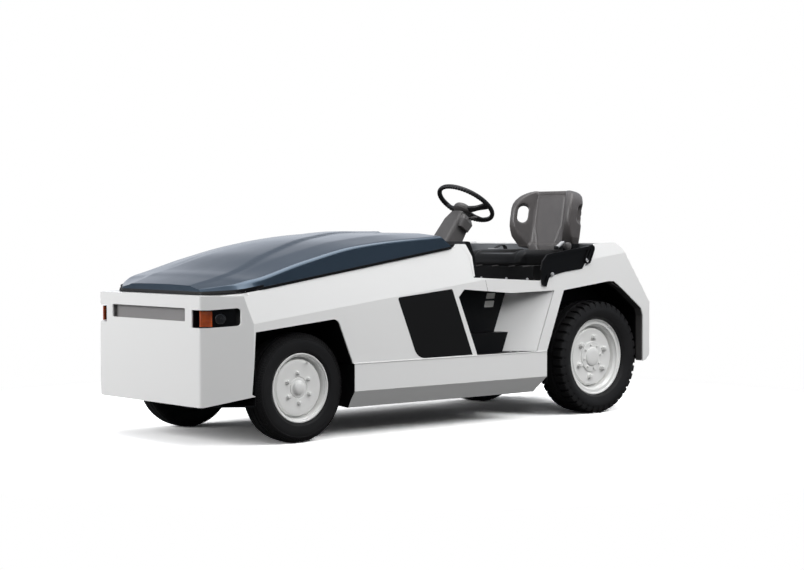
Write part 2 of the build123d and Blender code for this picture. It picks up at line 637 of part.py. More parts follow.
with BuildPart() as rear_arch_liners:
    with BuildSketch(side_plane(half_width - plate)):
        Polygon(*rear_liner, align=None)
        offset(amount=sheet, kind=Kind.INTERSECTION)
        Polygon(*rear_liner, align=None, mode=Mode.SUBTRACT)
        with Locations((-1100, 190)):
            Rectangle(1000, 60, mode=Mode.SUBTRACT)
        with Locations((-1535, 268)):
            Rectangle(60, 110, mode=Mode.SUBTRACT)
    extrude(amount=half_width - plate - liner_wall_y)
    with BuildSketch(side_plane(liner_wall_y)):
        Polygon(*rear_liner, align=None)
        with Locations((rear_axle_x, rear_radius)):
            Circle(min(100, rear_radius - liner_low - 20), mode=Mode.SUBTRACT)
    extrude(amount=sheet)
    mirror(about=Plane.XZ)
store(rear_arch_liners, "rear_arch_liners")

# Chassis frame: front rails, nose floor, battery cradle and rear rails
frame_boxes = [
    # x from and to, y from and to, z from and to
    (792, 800, -cradle_half, cradle_half, tray_low, rail_high),
    (cradle_back_x, cradle_back_x + 8, -sill_inner_y, sill_inner_y, tray_low, rear_rail_high),
    (cradle_back_x, 800, -cradle_half, cradle_half, tray_low, tray_high),
    (tail_x + plate, tail_x + plate + 20, -rear_rail_outer, rear_rail_outer, 362, 520),
    (nose_x - 30, nose_x - 22, 47 - nose_half, nose_half - 47, nose_bottom, rail_high),
]
for side in (1, -1):
    frame_boxes.append((796, nose_x - 26, side * rail_inner, side * rail_outer, rail_low, rail_high))
    frame_boxes.append((cradle_back_x, 800, side * (cradle_half - 10), side * sill_inner_y, tray_low, 300))
    frame_boxes.append((tail_x + plate, cradle_back_x + 8, side * rear_rail_inner, side * rear_rail_outer,
                        rear_rail_low, rear_rail_high))
with BuildPart() as chassis_frame:
    for x1, x2, y1, y2, z1, z2 in frame_boxes:
        with Locations(Location(((x1 + x2) / 2, (y1 + y2) / 2, (z1 + z2) / 2))):
            Box(abs(x2 - x1), abs(y2 - y1), abs(z2 - z1))
    with BuildSketch(Plane.XY.offset(nose_bottom)):
        Polygon(*nose_plan(plate + seat_gap, nose_side_x - 8), align=None)
    extrude(amount=8)
store(chassis_frame, "chassis_frame")

# Battery and drive motor: plain heavy blocks
with BuildPart() as battery_block:
    with Locations(Location(((battery_front_x - 12 + battery_rear_x) / 2, 0, (tray_high + battery_top) / 2))):
        Box(battery_front_x - 12 - battery_rear_x, 2 * battery_half, battery_top - tray_high)
store(battery_block, "battery_block")

with BuildPart() as drive_motor:
    with BuildSketch(Plane.YZ.offset(rear_axle_x + 135.5)):
        with Locations((0, rear_radius)):
            Circle(125)
    extrude(amount=330)
    fillet(edges().filter_by(GeomType.CIRCLE).sort_by(Axis.X)[-1:], radius=20)
store(drive_motor, "drive_motor")

# Rear axle: gear housing, tapering tubes, spring pads, brake drums and stub shafts
drum_y, stub_y = rear_track_y - 65, rear_track_y + 23
with BuildPart() as rear_axle:
    with BuildSketch(Plane.XY.offset(rear_radius)) as axle_sketch:
        with BuildLine():
            Polyline((rear_axle_x, -stub_y), (rear_axle_x + drive_shaft_radius, -stub_y),
                     (rear_axle_x + drive_shaft_radius, -drum_y), (rear_axle_x + 130, -drum_y),
                     (rear_axle_x + 130, 40 - drum_y),
                     (rear_axle_x + 48, 40 - drum_y), (rear_axle_x + 48, -210), (rear_axle_x + 96, -110))
            ThreePointArc((rear_axle_x + 96, -110), (rear_axle_x + 135, 0), (rear_axle_x + 96, 110))
            Polyline((rear_axle_x + 96, 110), (rear_axle_x + 48, 210), (rear_axle_x + 48, drum_y - 40),
                     (rear_axle_x + 130, drum_y - 40), (rear_axle_x + 130, drum_y),
                     (rear_axle_x + drive_shaft_radius, drum_y),
                     (rear_axle_x + drive_shaft_radius, stub_y), (rear_axle_x, stub_y))
            Line((rear_axle_x, stub_y), (rear_axle_x, -stub_y))
        make_face()
    revolve(axis=Axis((rear_axle_x, 0, rear_radius), (0, 1, 0)))
    for side in (1, -1):
        with Locations(Location((rear_axle_x, side * (rear_rail_inner + rear_rail_outer) / 2,
                                 (rear_radius + rear_rail_low) / 2))):
            Box(110, rear_rail_outer - rear_rail_inner, rear_rail_low - rear_radius)
store(rear_axle, "rear_axle")

# Front axle beam with king pin bosses
with BuildPart() as front_axle:
    with Locations(Location((front_axle_x, 0, front_radius))):
        Box(beam_size, 2 * (kingpin_y - 10), beam_size)
    for side in (1, -1):
        with Locations(Location((front_axle_x, side * kingpin_y, front_radius))):
            Cylinder(kingpin_boss, 80)
            Cylinder(kingpin_radius + bearing_gap, 82, mode=Mode.SUBTRACT)
store(front_axle, "front_axle")

# Leaf springs between the beam and the rails
beam_top = front_radius + beam_size / 2
with BuildPart() as leaf_springs:
    with BuildSketch(side_plane(rail_outer)):
        for level, half in enumerate((300.0, 240.0, 180.0, 120.0)):
            rise = 15.0 * (half / spring_half) ** 2
            base = beam_top + (3 - level) * leaf
            with BuildLine():
                ThreePointArc((front_axle_x - half, base + rise), (front_axle_x, base), (front_axle_x + half, base + rise))
                Line((front_axle_x + half, base + rise), (front_axle_x + half, base + rise + leaf))
                ThreePointArc((front_axle_x + half, base + rise + leaf), (front_axle_x, base + leaf),
                              (front_axle_x - half, base + rise + leaf))
                Line((front_axle_x - half, base + rise + leaf), (front_axle_x - half, base + rise))
            make_face()
        for end in (1, -1):
            with Locations((front_axle_x + end * (spring_half - 10), (rail_low + beam_top + 3 * leaf + 15) / 2)):
                Rectangle(26, rail_low - beam_top - 3 * leaf - 15)
    extrude(amount=rail_outer - rail_inner)
    mirror(about=Plane.XZ)
store(leaf_springs, "leaf_springs")

# Knuckles: lugs on the king pin, stub axle and steering arm
with BuildPart() as knuckle_left:
    for low in (front_radius - 67, front_radius + 43):
        with BuildSketch(Plane.XY.offset(low)):
            with Locations((front_axle_x, kingpin_y)):
                Circle(kingpin_boss)
            with Locations((front_axle_x, kingpin_y + 26)):
                Rectangle(2 * kingpin_boss, 52)
        extrude(amount=24)
    with Locations(Location((front_axle_x, kingpin_y + 45, front_radius))):
        Box(76, 14, 134)
    with Locations(Location((front_axle_x, kingpin_y, front_radius))):
        Cylinder(kingpin_radius, 110)
    with BuildSketch(side_plane(kingpin_y + 50)):
        with Locations((front_axle_x, front_radius)):
            Circle(34)
    extrude(amount=-5)
    with BuildSketch(side_plane(kingpin_y + 50)):
        with Locations((front_axle_x, front_radius)):
            Circle(spindle_radius)
    extrude(amount=-60)
    with BuildSketch(Plane.XY.offset(arm_level)):
        Polygon((front_axle_x, kingpin_y - 1.5 * arm_half), (front_axle_x, kingpin_y + 1.5 * arm_half),
                (front_axle_x - arm_back, kingpin_y + arm_half), (front_axle_x - arm_back, kingpin_y - arm_half),
                align=None)
        with Locations((front_axle_x - arm_back, kingpin_y)):
            Circle(arm_half + 4)
    extrude(amount=18)
    with Locations(Location((front_axle_x - arm_back, kingpin_y, arm_level + 23))):
        Cylinder(tie_pin_radius, 46)
store(knuckle_left, "knuckle_left")

with BuildPart() as knuckle_right:
    mirror(knuckle_left.part, about=Plane.XZ)
store(knuckle_right, "knuckle_right")

# Tie rod between the steering arms, which stay parallel
tie_x, tie_y = front_axle_x - arm_back, kingpin_y
with BuildPart() as tie_rod:
    for side in (1, -1):
        with Locations(Location((tie_x, side * tie_y, arm_level + 31))):
            Cylinder(18, 20)
    with BuildSketch(Plane.XZ.offset(-tie_y)):
        with Locations((tie_x, arm_level + 31)):
            Circle(9)
    extrude(amount=2 * tie_y)
    for side in (1, -1):
        with Locations(Location((tie_x, side * tie_y, arm_level + 31))):
            Cylinder(tie_pin_radius + bearing_gap, 22, mode=Mode.SUBTRACT)
store(tie_rod, "tie_rod")


# Wheels
def wheel_ring(builder_x, builder_z, track_y, points, arcs):
    # Closed section in (y, radius) turned round the wheel's axis; arcs maps a start index to a middle point.
    with BuildPart() as ring:
        with BuildSketch(Plane.YZ.offset(builder_x)):
            with BuildLine():
                count = len(points)
                for index in range(count):
                    here = (track_y + points[index][0], builder_z + points[index][1])
                    there = (track_y + points[(index + 1) % count][0], builder_z + points[(index + 1) % count][1])
                    if index in arcs:
                        middle = (track_y + arcs[index][0], builder_z + arcs[index][1])
                        ThreePointArc(here, middle, there)
                    else:
                        Line(here, there)
            make_face()
        revolve(axis=Axis((builder_x, 0, builder_z), (0, 1, 0)))
    return ring


front_section = [(-bead_half, front_bead), (bead_half, front_bead), (bead_half, front_flange + 2),
                 (72, front_flange + 14), (66, front_radius - 19), (56, front_radius - 6),
                 (-56, front_radius - 6), (-66, front_radius - 19), (-72, front_flange + 14),
                 (-bead_half, front_flange + 2)]
front_middle = (front_flange + front_radius) / 2 - 2.5
front_arcs = {3: (front_half_section, front_middle), 5: (0, front_radius), 7: (-front_half_section, front_middle)}
rear_section = [(-bead_half, rear_bead), (bead_half, rear_bead), (bead_half, rear_flange + 2),
                (96, rear_flange + 18), (102, rear_radius - 28), (90, rear_radius - 7),
                (-90, rear_radius - 7), (-102, rear_radius - 28), (-96, rear_flange + 18),
                (-bead_half, rear_flange + 2)]
rear_middle = (rear_flange + rear_radius) / 2 - 4
rear_arcs = {3: (rear_half_section, rear_middle), 5: (0, rear_radius), 7: (-rear_half_section, rear_middle)}

front_rim = [(-bead_half - 6, front_bead - 6), (-bead_half - 6, front_flange), (-bead_half - bead_gap, front_flange),
             (-bead_half - bead_gap, front_bead - bead_gap), (bead_half + bead_gap, front_bead - bead_gap),
             (bead_half + bead_gap, front_flange), (bead_half + 6, front_flange), (bead_half + 6, front_bead - 6),
             (36, front_bead - 12), (30, 140), (34, 60), (58, 44), (62, 20), (62, 0), (48, 0),
             (48, spindle_radius + bearing_gap), (-12, spindle_radius + bearing_gap), (-12, 44), (24, 50),
             (22, 140), (28, front_bead - 5), (-40, front_bead - 6)]
rear_rim = [(-bead_half - 8, rear_bead - 8), (-bead_half - 8, rear_flange), (-bead_half - bead_gap, rear_flange),
            (-bead_half - bead_gap, rear_bead - bead_gap), (bead_half + bead_gap, rear_bead - bead_gap),
            (bead_half + bead_gap, rear_flange), (bead_half + 8, rear_flange), (bead_half + 8, rear_bead - 20),
            (36, rear_bead - 24), (26, 170), (26, 70), (40, 62), (40, 0), (28, 0),
            (28, drive_shaft_radius + bearing_gap), (-58, drive_shaft_radius + bearing_gap), (-58, 68), (14, 74),
            (14, 174), (20, rear_bead - 9)]

wheel_table = [("front_left", front_axle_x, front_radius, front_track_y, front_section, front_arcs, front_rim),
               ("rear_left", rear_axle_x, rear_radius, rear_track_y, rear_section, rear_arcs, rear_rim)]
for place, axle_x, radius, track_y, tyre_section, tyre_arcs, rim_section in wheel_table:
    tyre = wheel_ring(axle_x, radius, track_y, tyre_section, tyre_arcs)
    rim = wheel_ring(axle_x, radius, track_y, rim_section, {})
    for kind, ring in (("tyre", tyre), ("rim", rim)):
        store(ring, f"{place}_{kind}")
        with BuildPart() as twin:
            mirror(ring.part, about=Plane.XZ)
        store(twin, f"{place.replace('left', 'right')}_{kind}")


# Hood: lofted shell with rounded creases and pins in the nose lugs
def crease_arc(before, corner, after):
    # Start, middle and end of the arc that rounds a corner between two lines.
    down, across = (before - corner).normalized(), (after - corner).normalized()
    half = radians(down.get_angle(across)) / 2
    radius = min(crease_radius, 0.6 * (before - corner).length * tan(half))
    middle = corner + (down + across).normalized() * (radius / sin(half) - radius)
    reach = radius / tan(half)
    return corner + down * reach, middle, corner + across * reach


def hood_solid(inset, drop):
    # A loft through the stations; inset thins it on every side and drop lowers its open bottom.
    with BuildPart() as shape:
        for index, (x, bottom_y, bottom_z, crease_y, crease_z, inner_y, inner_z, crown_z) in enumerate(hood_stations):
            at_x = x - inset if index == 0 else x + inset if index == len(hood_stations) - 1 else x
            with BuildSketch(Plane.YZ.offset(at_x)):
                bottom = Vector(bottom_y - inset, bottom_z - drop)
                inner = Vector(inner_y, inner_z - inset)
                low, middle, high = crease_arc(bottom, Vector(crease_y - inset, crease_z - inset), inner)
                with BuildLine():
                    for side in (1, -1):
                        turn = [Vector(side * point.X, point.Y) for point in (bottom, low, middle, high, inner)]
                        Line(turn[0], turn[1])
                        ThreePointArc(turn[1], turn[2], turn[3])
                        Line(turn[3], turn[4])
                    Line(bottom, Vector(-bottom.X, bottom.Y))
                    ThreePointArc(inner, (0, crown_z - inset), Vector(-inner.X, inner.Y))
                make_face()
        loft(ruled=True)
    return shape


hood_inner = hood_solid(hood_wall, 30.0)
hood_outer = hood_solid(0.0, 0.0)
with BuildPart() as hood:
    add(hood_outer.part)
    add(hood_inner.part, mode=Mode.SUBTRACT)
    for side in (1, -1):
        for offset_y in (-9.5, 9.5):
            with BuildSketch(side_plane(side * hood_hinge_y + offset_y + 4)):
                Polygon((1647, 808), (1647, 826), (hood_hinge[0], hood_hinge[1] + 11),
                        (hood_hinge[0], hood_hinge[1] - 11), align=None)
                with Locations(hood_hinge):
                    Circle(11)
            extrude(amount=8)
        with BuildSketch(side_plane(side * hood_hinge_y + 13.5)):
            with Locations(hood_hinge):
                Circle(hinge_pin_radius)
        extrude(amount=27)
store(hood, "hood")

# Tow hitch: three jaw plates on a back plate
with BuildPart() as tow_hitch:
    with Locations(Location((tail_x - 8, 0, 410))):
        Box(16, 220, 220)
    for level in jaw_levels:
        with BuildSketch(Plane.XY.offset(level)):
            Polygon((tail_x - 8, -90), (tail_x - 8, 90), (hitch_pin_x + 20, jaw_half), (hitch_pin_x, jaw_half),
                    (hitch_pin_x, -jaw_half), (hitch_pin_x + 20, -jaw_half), align=None)
            with Locations((hitch_pin_x, 0)):
                Ellipse(hitch_pin_x - hitch_tip_x, jaw_half)
        extrude(amount=jaw_plate)
    with Locations(Location((hitch_pin_x, 0, 410))):
        Cylinder(hitch_pin_radius + hitch_pin_gap, 220, mode=Mode.SUBTRACT)
store(tow_hitch, "tow_hitch")

pin_low, pin_top = jaw_levels[0] - 12, jaw_levels[2] + jaw_plate
with BuildPart() as hitch_pin:
    with BuildSketch(Plane.XY.offset(pin_low)):
        with Locations((hitch_pin_x, 0)):
            Circle(hitch_pin_radius)
    extrude(amount=pin_top - pin_low)
    with BuildSketch(Plane.XY.offset(pin_top)):
        with Locations((hitch_pin_x, 0)):
            Circle(24)
    extrude(amount=12)
    with BuildSketch(Plane.XZ):
        with Locations((hitch_pin_x, pin_top + 36)):
            Circle(28)
            Circle(20, mode=Mode.SUBTRACT)
    extrude(amount=5, both=True)
store(hitch_pin, "hitch_pin")
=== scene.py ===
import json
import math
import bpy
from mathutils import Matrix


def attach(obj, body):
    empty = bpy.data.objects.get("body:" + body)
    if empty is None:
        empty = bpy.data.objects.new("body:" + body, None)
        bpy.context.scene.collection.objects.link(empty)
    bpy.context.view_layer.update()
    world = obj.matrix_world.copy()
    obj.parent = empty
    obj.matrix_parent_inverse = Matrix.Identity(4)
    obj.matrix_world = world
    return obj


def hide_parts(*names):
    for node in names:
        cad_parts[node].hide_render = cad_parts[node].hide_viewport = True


bl_info = {
    "name": "Baggage tug dressing",
    "version": (1, 0, 0),
    "blender": (4, 5, 0),
    "location": "3D View > Sidebar > Tug",
    "description": "Dresses the packed airport tug with tyres, seat, trim, lamps and finishes",
    "category": "Object",
}

import bmesh
import bpy
from bpy.props import FloatProperty, FloatVectorProperty, IntProperty, PointerProperty
from mathutils import Matrix, Vector

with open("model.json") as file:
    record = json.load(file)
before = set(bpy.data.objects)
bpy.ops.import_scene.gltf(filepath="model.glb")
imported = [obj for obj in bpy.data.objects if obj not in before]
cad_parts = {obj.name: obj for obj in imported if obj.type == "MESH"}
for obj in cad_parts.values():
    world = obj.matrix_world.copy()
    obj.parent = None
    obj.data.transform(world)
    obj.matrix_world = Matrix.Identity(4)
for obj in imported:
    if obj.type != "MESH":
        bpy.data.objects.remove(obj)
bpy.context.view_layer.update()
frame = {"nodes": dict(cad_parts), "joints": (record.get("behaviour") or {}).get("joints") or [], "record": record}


# Sizes and colours that a user would change

def length(name, description, default):
    return FloatProperty(name=name, description=description, default=default, unit="LENGTH")


def colour(name, description, default):
    return FloatVectorProperty(name=name, description=description, default=default, subtype="COLOR")


class TugSizes(bpy.types.PropertyGroup):
    front_sipes: IntProperty(name="Front sipes", description="Notches round each front shoulder",
                             default=120, min=24)
    rear_lugs: IntProperty(name="Rear lugs", description="Lugs round each rear shoulder",
                           default=40, min=20)
    lug_depth: length("Lug depth", "Depth of the rear tread", 0.013)
    seal_width: length("Seal width", "Width of the hood seal", 0.0035)
    film: length("Film", "Thickness of the side film", 0.0006)
    seat_voxel: length("Seat voxel", "Remesh size of the seat", 0.006)
    skin_lift: length("Skin lift", "Hood skin above its shell", 0.002)
    seam_depth: length("Seam depth", "Depth of the seat's seams", 0.004)


class TugColours(bpy.types.PropertyGroup):
    body: colour("Body", "Body paint", (0.81, 0.81, 0.805))
    hood: colour("Hood", "Hood paint", (0.050, 0.075, 0.105))
    deck: colour("Deck", "Rear deck paint", (0.150, 0.158, 0.168))
    rim: colour("Rims", "Rim paint", (0.86, 0.86, 0.845))
    vinyl: colour("Vinyl", "Seat cover", (0.076, 0.070, 0.069))
    amber: colour("Amber", "Turn lamps", (0.50, 0.085, 0.012))


# Finishes

def add_node(tree, kind, values=None, feeds=None, **settings):
    """Adds a shader node, with values on its sockets or outputs that feed them."""
    node = tree.nodes.new("ShaderNode" + kind)
    for setting, value in settings.items():
        setattr(node, setting, value)
    for socket, value in (values or {}).items():
        node.inputs[socket].default_value = value
    for socket, output in (feeds or {}).items():
        tree.links.new(output, node.inputs[socket])
    return node


def shader(name, colour, roughness, metallic=0.0, coat=0.0, sheen=0.0, transmission=0.0, gloss=0.5):
    """A new material and its shader, with its plain values set."""
    material = bpy.data.materials.new(name)
    material.use_nodes = True
    principled = material.node_tree.nodes["Principled BSDF"]
    values = {"Base Color": (*colour, 1.0), "Roughness": roughness, "Metallic": metallic, "Coat Weight": coat,
              "Coat Roughness": 0.06, "Sheen Weight": sheen, "Transmission Weight": transmission,
              "Specular IOR Level": gloss}
    for socket, value in values.items():
        principled.inputs[socket].default_value = value
    return material, principled


def own_place(tree):
    """Places in the piece's own metres."""
    return add_node(tree, "TexCoord").outputs["Object"]


def noise(tree, scale, detail=3.0):
    """Soft noise in the piece's own metres."""
    values = {"Scale": scale, "Detail": detail}
    return add_node(tree, "TexNoise", values, {"Vector": own_place(tree)}).outputs["Fac"]


def cells(tree, scale):
    """Small cells, as in leather or moulded grain."""
    return add_node(tree, "TexVoronoi", {"Scale": scale}, {"Vector": own_place(tree)}).outputs["Distance"]


def ribs(tree, direction, scale):
    """Straight ribs across a direction."""
    wave = add_node(tree, "TexWave", {"Scale": scale}, {"Vector": own_place(tree)}, bands_direction=direction)
    return wave.outputs["Fac"]


def shades(tree, output, stops):
    """A colour ramp through stops of a place and a colour."""
    ramp = add_node(tree, "ValToRGB", feeds={"Fac": output})
    marks = ramp.color_ramp.elements
    for mark, (place, shade) in zip(marks[:], (stops[0], stops[-1])):
        mark.position = place
        mark.color = (*shade, 1.0)
    for place, shade in stops[1:-1]:
        marks.new(place).color = (*shade, 1.0)
    return ramp.outputs["Color"]


def tone(principled, scale, low, high):
    """Soft colour variation between two shades of the base colour."""
    tree = principled.id_data
    base = principled.inputs["Base Color"].default_value[:3]
    stops = [(place, [min(1.0, channel * share) for channel in base])
             for place, share in ((0.1, low), (0.9, high))]
    tree.links.new(shades(tree, noise(tree, scale), stops), principled.inputs["Base Color"])


def wear(principled, scale, polish, dulling):
    """Roughness that wanders from a little under its value to a little over it."""
    tree = principled.id_data
    middle = principled.inputs["Roughness"].default_value
    values = {"From Min": 0.1, "From Max": 0.9, "To Min": middle - polish, "To Max": middle + dulling}
    span = add_node(tree, "MapRange", values, {"Value": noise(tree, scale)})
    tree.links.new(span.outputs["Result"], principled.inputs["Roughness"])


def bump(principled, height, strength, depth):
    """A bump laid over what the normal already has."""
    tree = principled.id_data
    normal = principled.inputs["Normal"]
    under = {"Normal": normal.links[0].from_socket} if normal.links else {}
    raised = add_node(tree, "Bump", {"Strength": strength, "Distance": depth}, {"Height": height, **under})
    tree.links.new(raised.outputs["Normal"], normal)


def paint(name, colour, roughness=0.32, coat=0.4, metallic=0.0, peel=0.25, gloss=0.5):
    """Sprayed paint with a faint orange peel."""
    material, principled = shader(name, colour, roughness, metallic, coat, gloss=gloss)
    tone(principled, 1.6, 0.99, 1.005)
    wear(principled, 6.0, 0.03, 0.04)
    bump(principled, noise(material.node_tree, 420.0, 2.0), peel, 0.0002)
    return material


def plastic(name, colour, roughness=0.5):
    """Moulded plastic with a fine grain."""
    material, principled = shader(name, colour, roughness, gloss=0.25)
    tone(principled, 12.0, 0.85, 1.18)
    wear(principled, 25.0, 0.06, 0.08)
    bump(principled, cells(material.node_tree, 900.0), 0.25, 0.0002)
    return material


def rubber(name, colour, roughness):
    """Rubber or webbing, slightly dusty and finely grained."""
    material, principled = shader(name, colour, roughness, gloss=0.25)
    tone(principled, 9.0, 0.75, 1.25)
    wear(principled, 18.0, 0.1, 0.08)
    bump(principled, noise(material.node_tree, 700.0, 4.0), 0.35, 0.0004)
    return material


def vinyl(name, colour, roughness, gloss=0.5):
    """Seat cover: pebbled grain over soft colour variation."""
    material, principled = shader(name, colour, roughness, sheen=0.06, gloss=gloss)
    tone(principled, 10.0, 0.82, 1.2)
    wear(principled, 20.0, 0.06, 0.08)
    bump(principled, cells(material.node_tree, 620.0), 0.3, 0.0003)
    bump(principled, noise(material.node_tree, 26.0, 2.0), 0.1, 0.001)
    return material


def metal(name, colour, roughness, metallic):
    """Machined or cast metal."""
    material, principled = shader(name, colour, roughness, metallic)
    tone(principled, 30.0, 0.85, 1.12)
    wear(principled, 60.0, 0.08, 0.12)
    bump(principled, noise(material.node_tree, 300.0, 4.0), 0.2, 0.0003)
    return material


def lens(name, colour, transmission=0.35, ribs_along="Z"):
    """Moulded lamp lens with fine ribs, and strong dark and bright blotches in its colour that are painted
    reflections of its inner reflectors.
    """
    material, principled = shader(name, colour, 0.12, coat=0.8, transmission=transmission)
    # strong dark and bright blotches: painted reflections of the reflectors behind the lens
    tone(principled, 24.0, 0.35, 1.55)
    bump(principled, ribs(material.node_tree, ribs_along, 42.0), 0.6, 0.0012)
    return material


def punched(name, colour, pitch=0.0045):
    """Punched sheet: small holes in rows, painted dark as the shade seen through them."""
    material, principled = shader(name, colour, 0.45, 0.2)
    tree = material.node_tree
    split = add_node(tree, "SeparateXYZ", feeds={"Vector": own_place(tree)})
    waves = []
    for axis in ("Y", "Z"):
        turns = add_node(tree, "Math", {1: math.tau / pitch}, {0: split.outputs[axis]}, operation="MULTIPLY")
        waves.append(add_node(tree, "Math", feeds={0: turns.outputs["Value"]}, operation="SINE"))
    crossed = {index: wave.outputs["Value"] for index, wave in enumerate(waves)}
    holes = add_node(tree, "Math", feeds=crossed, operation="MULTIPLY").outputs["Value"]
    # the holes get a quarter of the colour: painted shade seen through them
    stops = ((0.15, colour), (0.3, [channel * 0.25 for channel in colour]))
    tree.links.new(shades(tree, holes, stops), principled.inputs["Base Color"])
    bump(principled, holes, -0.4, 0.0008)
    return material


finishes = {}


def make_finishes(colours):
    """Fills the table of finishes, each under the name that the pieces ask for."""
    finishes.update({
        "body_paint": paint("body paint", colours.body, 0.34, 0.25, peel=0.12),
        "hood_paint": paint("hood paint", colours.hood, 0.30, 0.5, 0.8, 0.05),
        "deck_paint": paint("deck paint", colours.deck, 0.38, 0.3, 0.2),
        "frame_black": paint("frame black", (0.0045, 0.0045, 0.005), 0.40, 0.0, gloss=0.22),
        "trim_black": plastic("trim black", (0.005, 0.005, 0.0055), 0.42),
        "shroud_grey": plastic("shroud grey", (0.078, 0.075, 0.075), 0.38),
        "wheel_black": plastic("grip black", (0.014, 0.014, 0.015), 0.38),
        "seat_vinyl": vinyl("seat vinyl", colours.vinyl, 0.38),
        "cushion_vinyl": vinyl("cushion vinyl", (0.003, 0.003, 0.0033), 0.40, 0.14),
        "tyre_rubber": rubber("tyre rubber", (0.0155, 0.0152, 0.0158), 0.56),
        "rim_paint": paint("rim paint", colours.rim, 0.34, 0.2, 0.1),
        "mat_rubber": rubber("mat rubber", (0.012, 0.012, 0.013), 0.75),
        "amber_lens": lens("amber lens", colours.amber),
        "clear_lens": lens("clear lens", (0.020, 0.021, 0.023), 0.0, "X"),
        "red_lens": lens("red lens", (0.45, 0.01, 0.01)),
        "bare_steel": metal("bare steel", (0.64, 0.64, 0.65), 0.38, 0.5),
        "cast_grey": metal("cast iron", (0.035, 0.036, 0.038), 0.55, 0.6),
        "battery_case": plastic("battery case", (0.03, 0.034, 0.04)),
        "mesh_grey": punched("punched mesh", (0.30, 0.29, 0.29)),
        "film": paint("side film", (0.009, 0.0088, 0.009), 0.36, 0.0, gloss=0.2),
        "seal": rubber("seal rubber", (0.004, 0.004, 0.0045), 0.6),
        "label": paint("blank label", (0.92, 0.92, 0.88), 0.35, 0.2),
        "webbing": rubber("webbing", (0.015, 0.015, 0.016), 0.8),
    })


class TUG_OT_finishes(bpy.types.Operator):
    """Give every CAD node its paint, plastic, rubber or metal"""
    bl_idname = "tug.finishes"
    bl_label = "Finishes"

    def execute(self, context):
        make_finishes(context.scene.tug_colours)
        slots = {part["node"]: part["material_slot"] for part in frame["record"]["subparts"]}
        for name, node in frame["nodes"].items():
            node.data.materials.clear()
            node.data.materials.append(finishes[slots[name]])
        return {"FINISHED"}


# Shapes

def piece(name, mesh, body, slot, finish=None, angle=35.0):
    """Turns a bmesh into an object that rides on a body; edges over the angle stay sharp."""
    data = bpy.data.meshes.new(name)
    bmesh.ops.recalc_face_normals(mesh, faces=mesh.faces)
    for edge in mesh.edges:
        edge.smooth = len(edge.link_faces) == 2 and edge.calc_face_angle(0.0) < math.radians(angle)
    for face in mesh.faces:
        face.smooth = True
    mesh.to_mesh(data)
    mesh.free()
    obj = bpy.data.objects.new(name, data)
    bpy.context.scene.collection.objects.link(obj)
    data.materials.append(finishes[finish or slot])
    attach(obj, body)
    return obj


def add_bolt(mesh, centre, axis, radius, height, flats=6, washer=1.35):
    """A head with flats and a chamfered top, on a round washer."""
    turn = Vector((0, 0, 1)).rotation_difference(Vector(axis).normalized()).to_matrix().to_4x4()
    place = Matrix.Translation(Vector(centre)) @ turn
    level = 0.0
    for corners, foot, tip, share in ((20, washer, washer * 0.96, 0.25), (flats, 1.0, 1.0, 0.6),
                                      (flats, 1.0, 0.72, 0.15)):
        lift = Matrix.Translation((0, 0, height * (level + share / 2)))
        bmesh.ops.create_cone(mesh, cap_ends=True, segments=corners, radius1=radius * foot,
                              radius2=radius * tip, depth=height * share, matrix=place @ lift)
        level += share


def add_box(mesh, low, high):
    """A box between two corners; gives its vertices."""
    low, high = Vector(low), Vector(high)
    place = Matrix.Translation((low + high) / 2) @ Matrix.Diagonal((*(high - low), 1.0))
    return bmesh.ops.create_cube(mesh, size=1.0, matrix=place)["verts"]


def add_prism(mesh, points, offset):
    """A flat outline pushed along an offset."""
    face = mesh.faces.new([mesh.verts.new(point) for point in points])
    grown = bmesh.ops.extrude_face_region(mesh, geom=[face])
    bmesh.ops.translate(mesh, vec=offset, verts=grown_verts(grown))


def grown_verts(grown):
    """The vertices among what an extrusion made."""
    return [item for item in grown["geom"] if isinstance(item, bmesh.types.BMVert)]


def rounded(points, radii, steps=8):
    """An outline in two axes, with an arc at each corner that has a radius."""
    result = []
    count = len(points)
    for index, corner in enumerate(points):
        radius = radii.get(index, 0.0)
        corner = Vector(corner)
        if radius <= 0.0:
            result.append(tuple(corner))
            continue
        before = (Vector(points[index - 1]) - corner).normalized()
        after = (Vector(points[(index + 1) % count]) - corner).normalized()
        half = before.angle(after) / 2
        centre = corner + (before + after).normalized() * radius / math.sin(half)
        start = corner + before * radius / math.tan(half)
        end = corner + after * radius / math.tan(half)
        result += [tuple(spot) for spot in arc(centre, start, end, radius, steps)]
    return result


def arc(centre, start, end, radius, steps):
    """Points of an arc round a centre, both ends with it."""
    return [centre + (start - centre).lerp(end - centre, step / steps).normalized() * radius
            for step in range(steps + 1)]


def loft(mesh, rings, capped=True):
    """Joins rings of vertices with quads, and closes both ends where capped."""
    for first, second in zip(rings, rings[1:]):
        count = len(first)
        for index in range(count):
            after = (index + 1) % count
            mesh.faces.new((first[index], first[after], second[after], second[index]))
    if capped:
        mesh.faces.new(rings[0])
        mesh.faces.new(reversed(rings[-1]))


def circle(count):
    """Angles of equal steps round a circle."""
    return [math.tau * step / count for step in range(count)]


def runs(path):
    """The direction of a path at each of its points."""
    last = len(path) - 1
    return [(Vector(path[min(index + 1, last)]) - Vector(path[max(index - 1, 0)])).normalized()
            for index in range(last + 1)]


def strap(mesh, points, width, thickness, across):
    """A flat strap that follows points, as wide as across says."""
    across = Vector(across).normalized()
    side = across * width / 2
    rings = []
    for point, run in zip(points, runs(points)):
        lift = run.cross(across).normalized() * thickness / 2
        rings.append([mesh.verts.new(Vector(point) + corner) for corner in
                      (side + lift, lift - side, -side - lift, side - lift)])
    loft(mesh, rings)


def wall(mesh, stations):
    """A thin upright wall through stations of its two faces, its foot and its top."""
    loft(mesh, [[mesh.verts.new((face[0], face[1], level)) for face, level in
                 ((first, low), (first, high), (second, high), (second, low))]
                for first, second, low, high in stations])


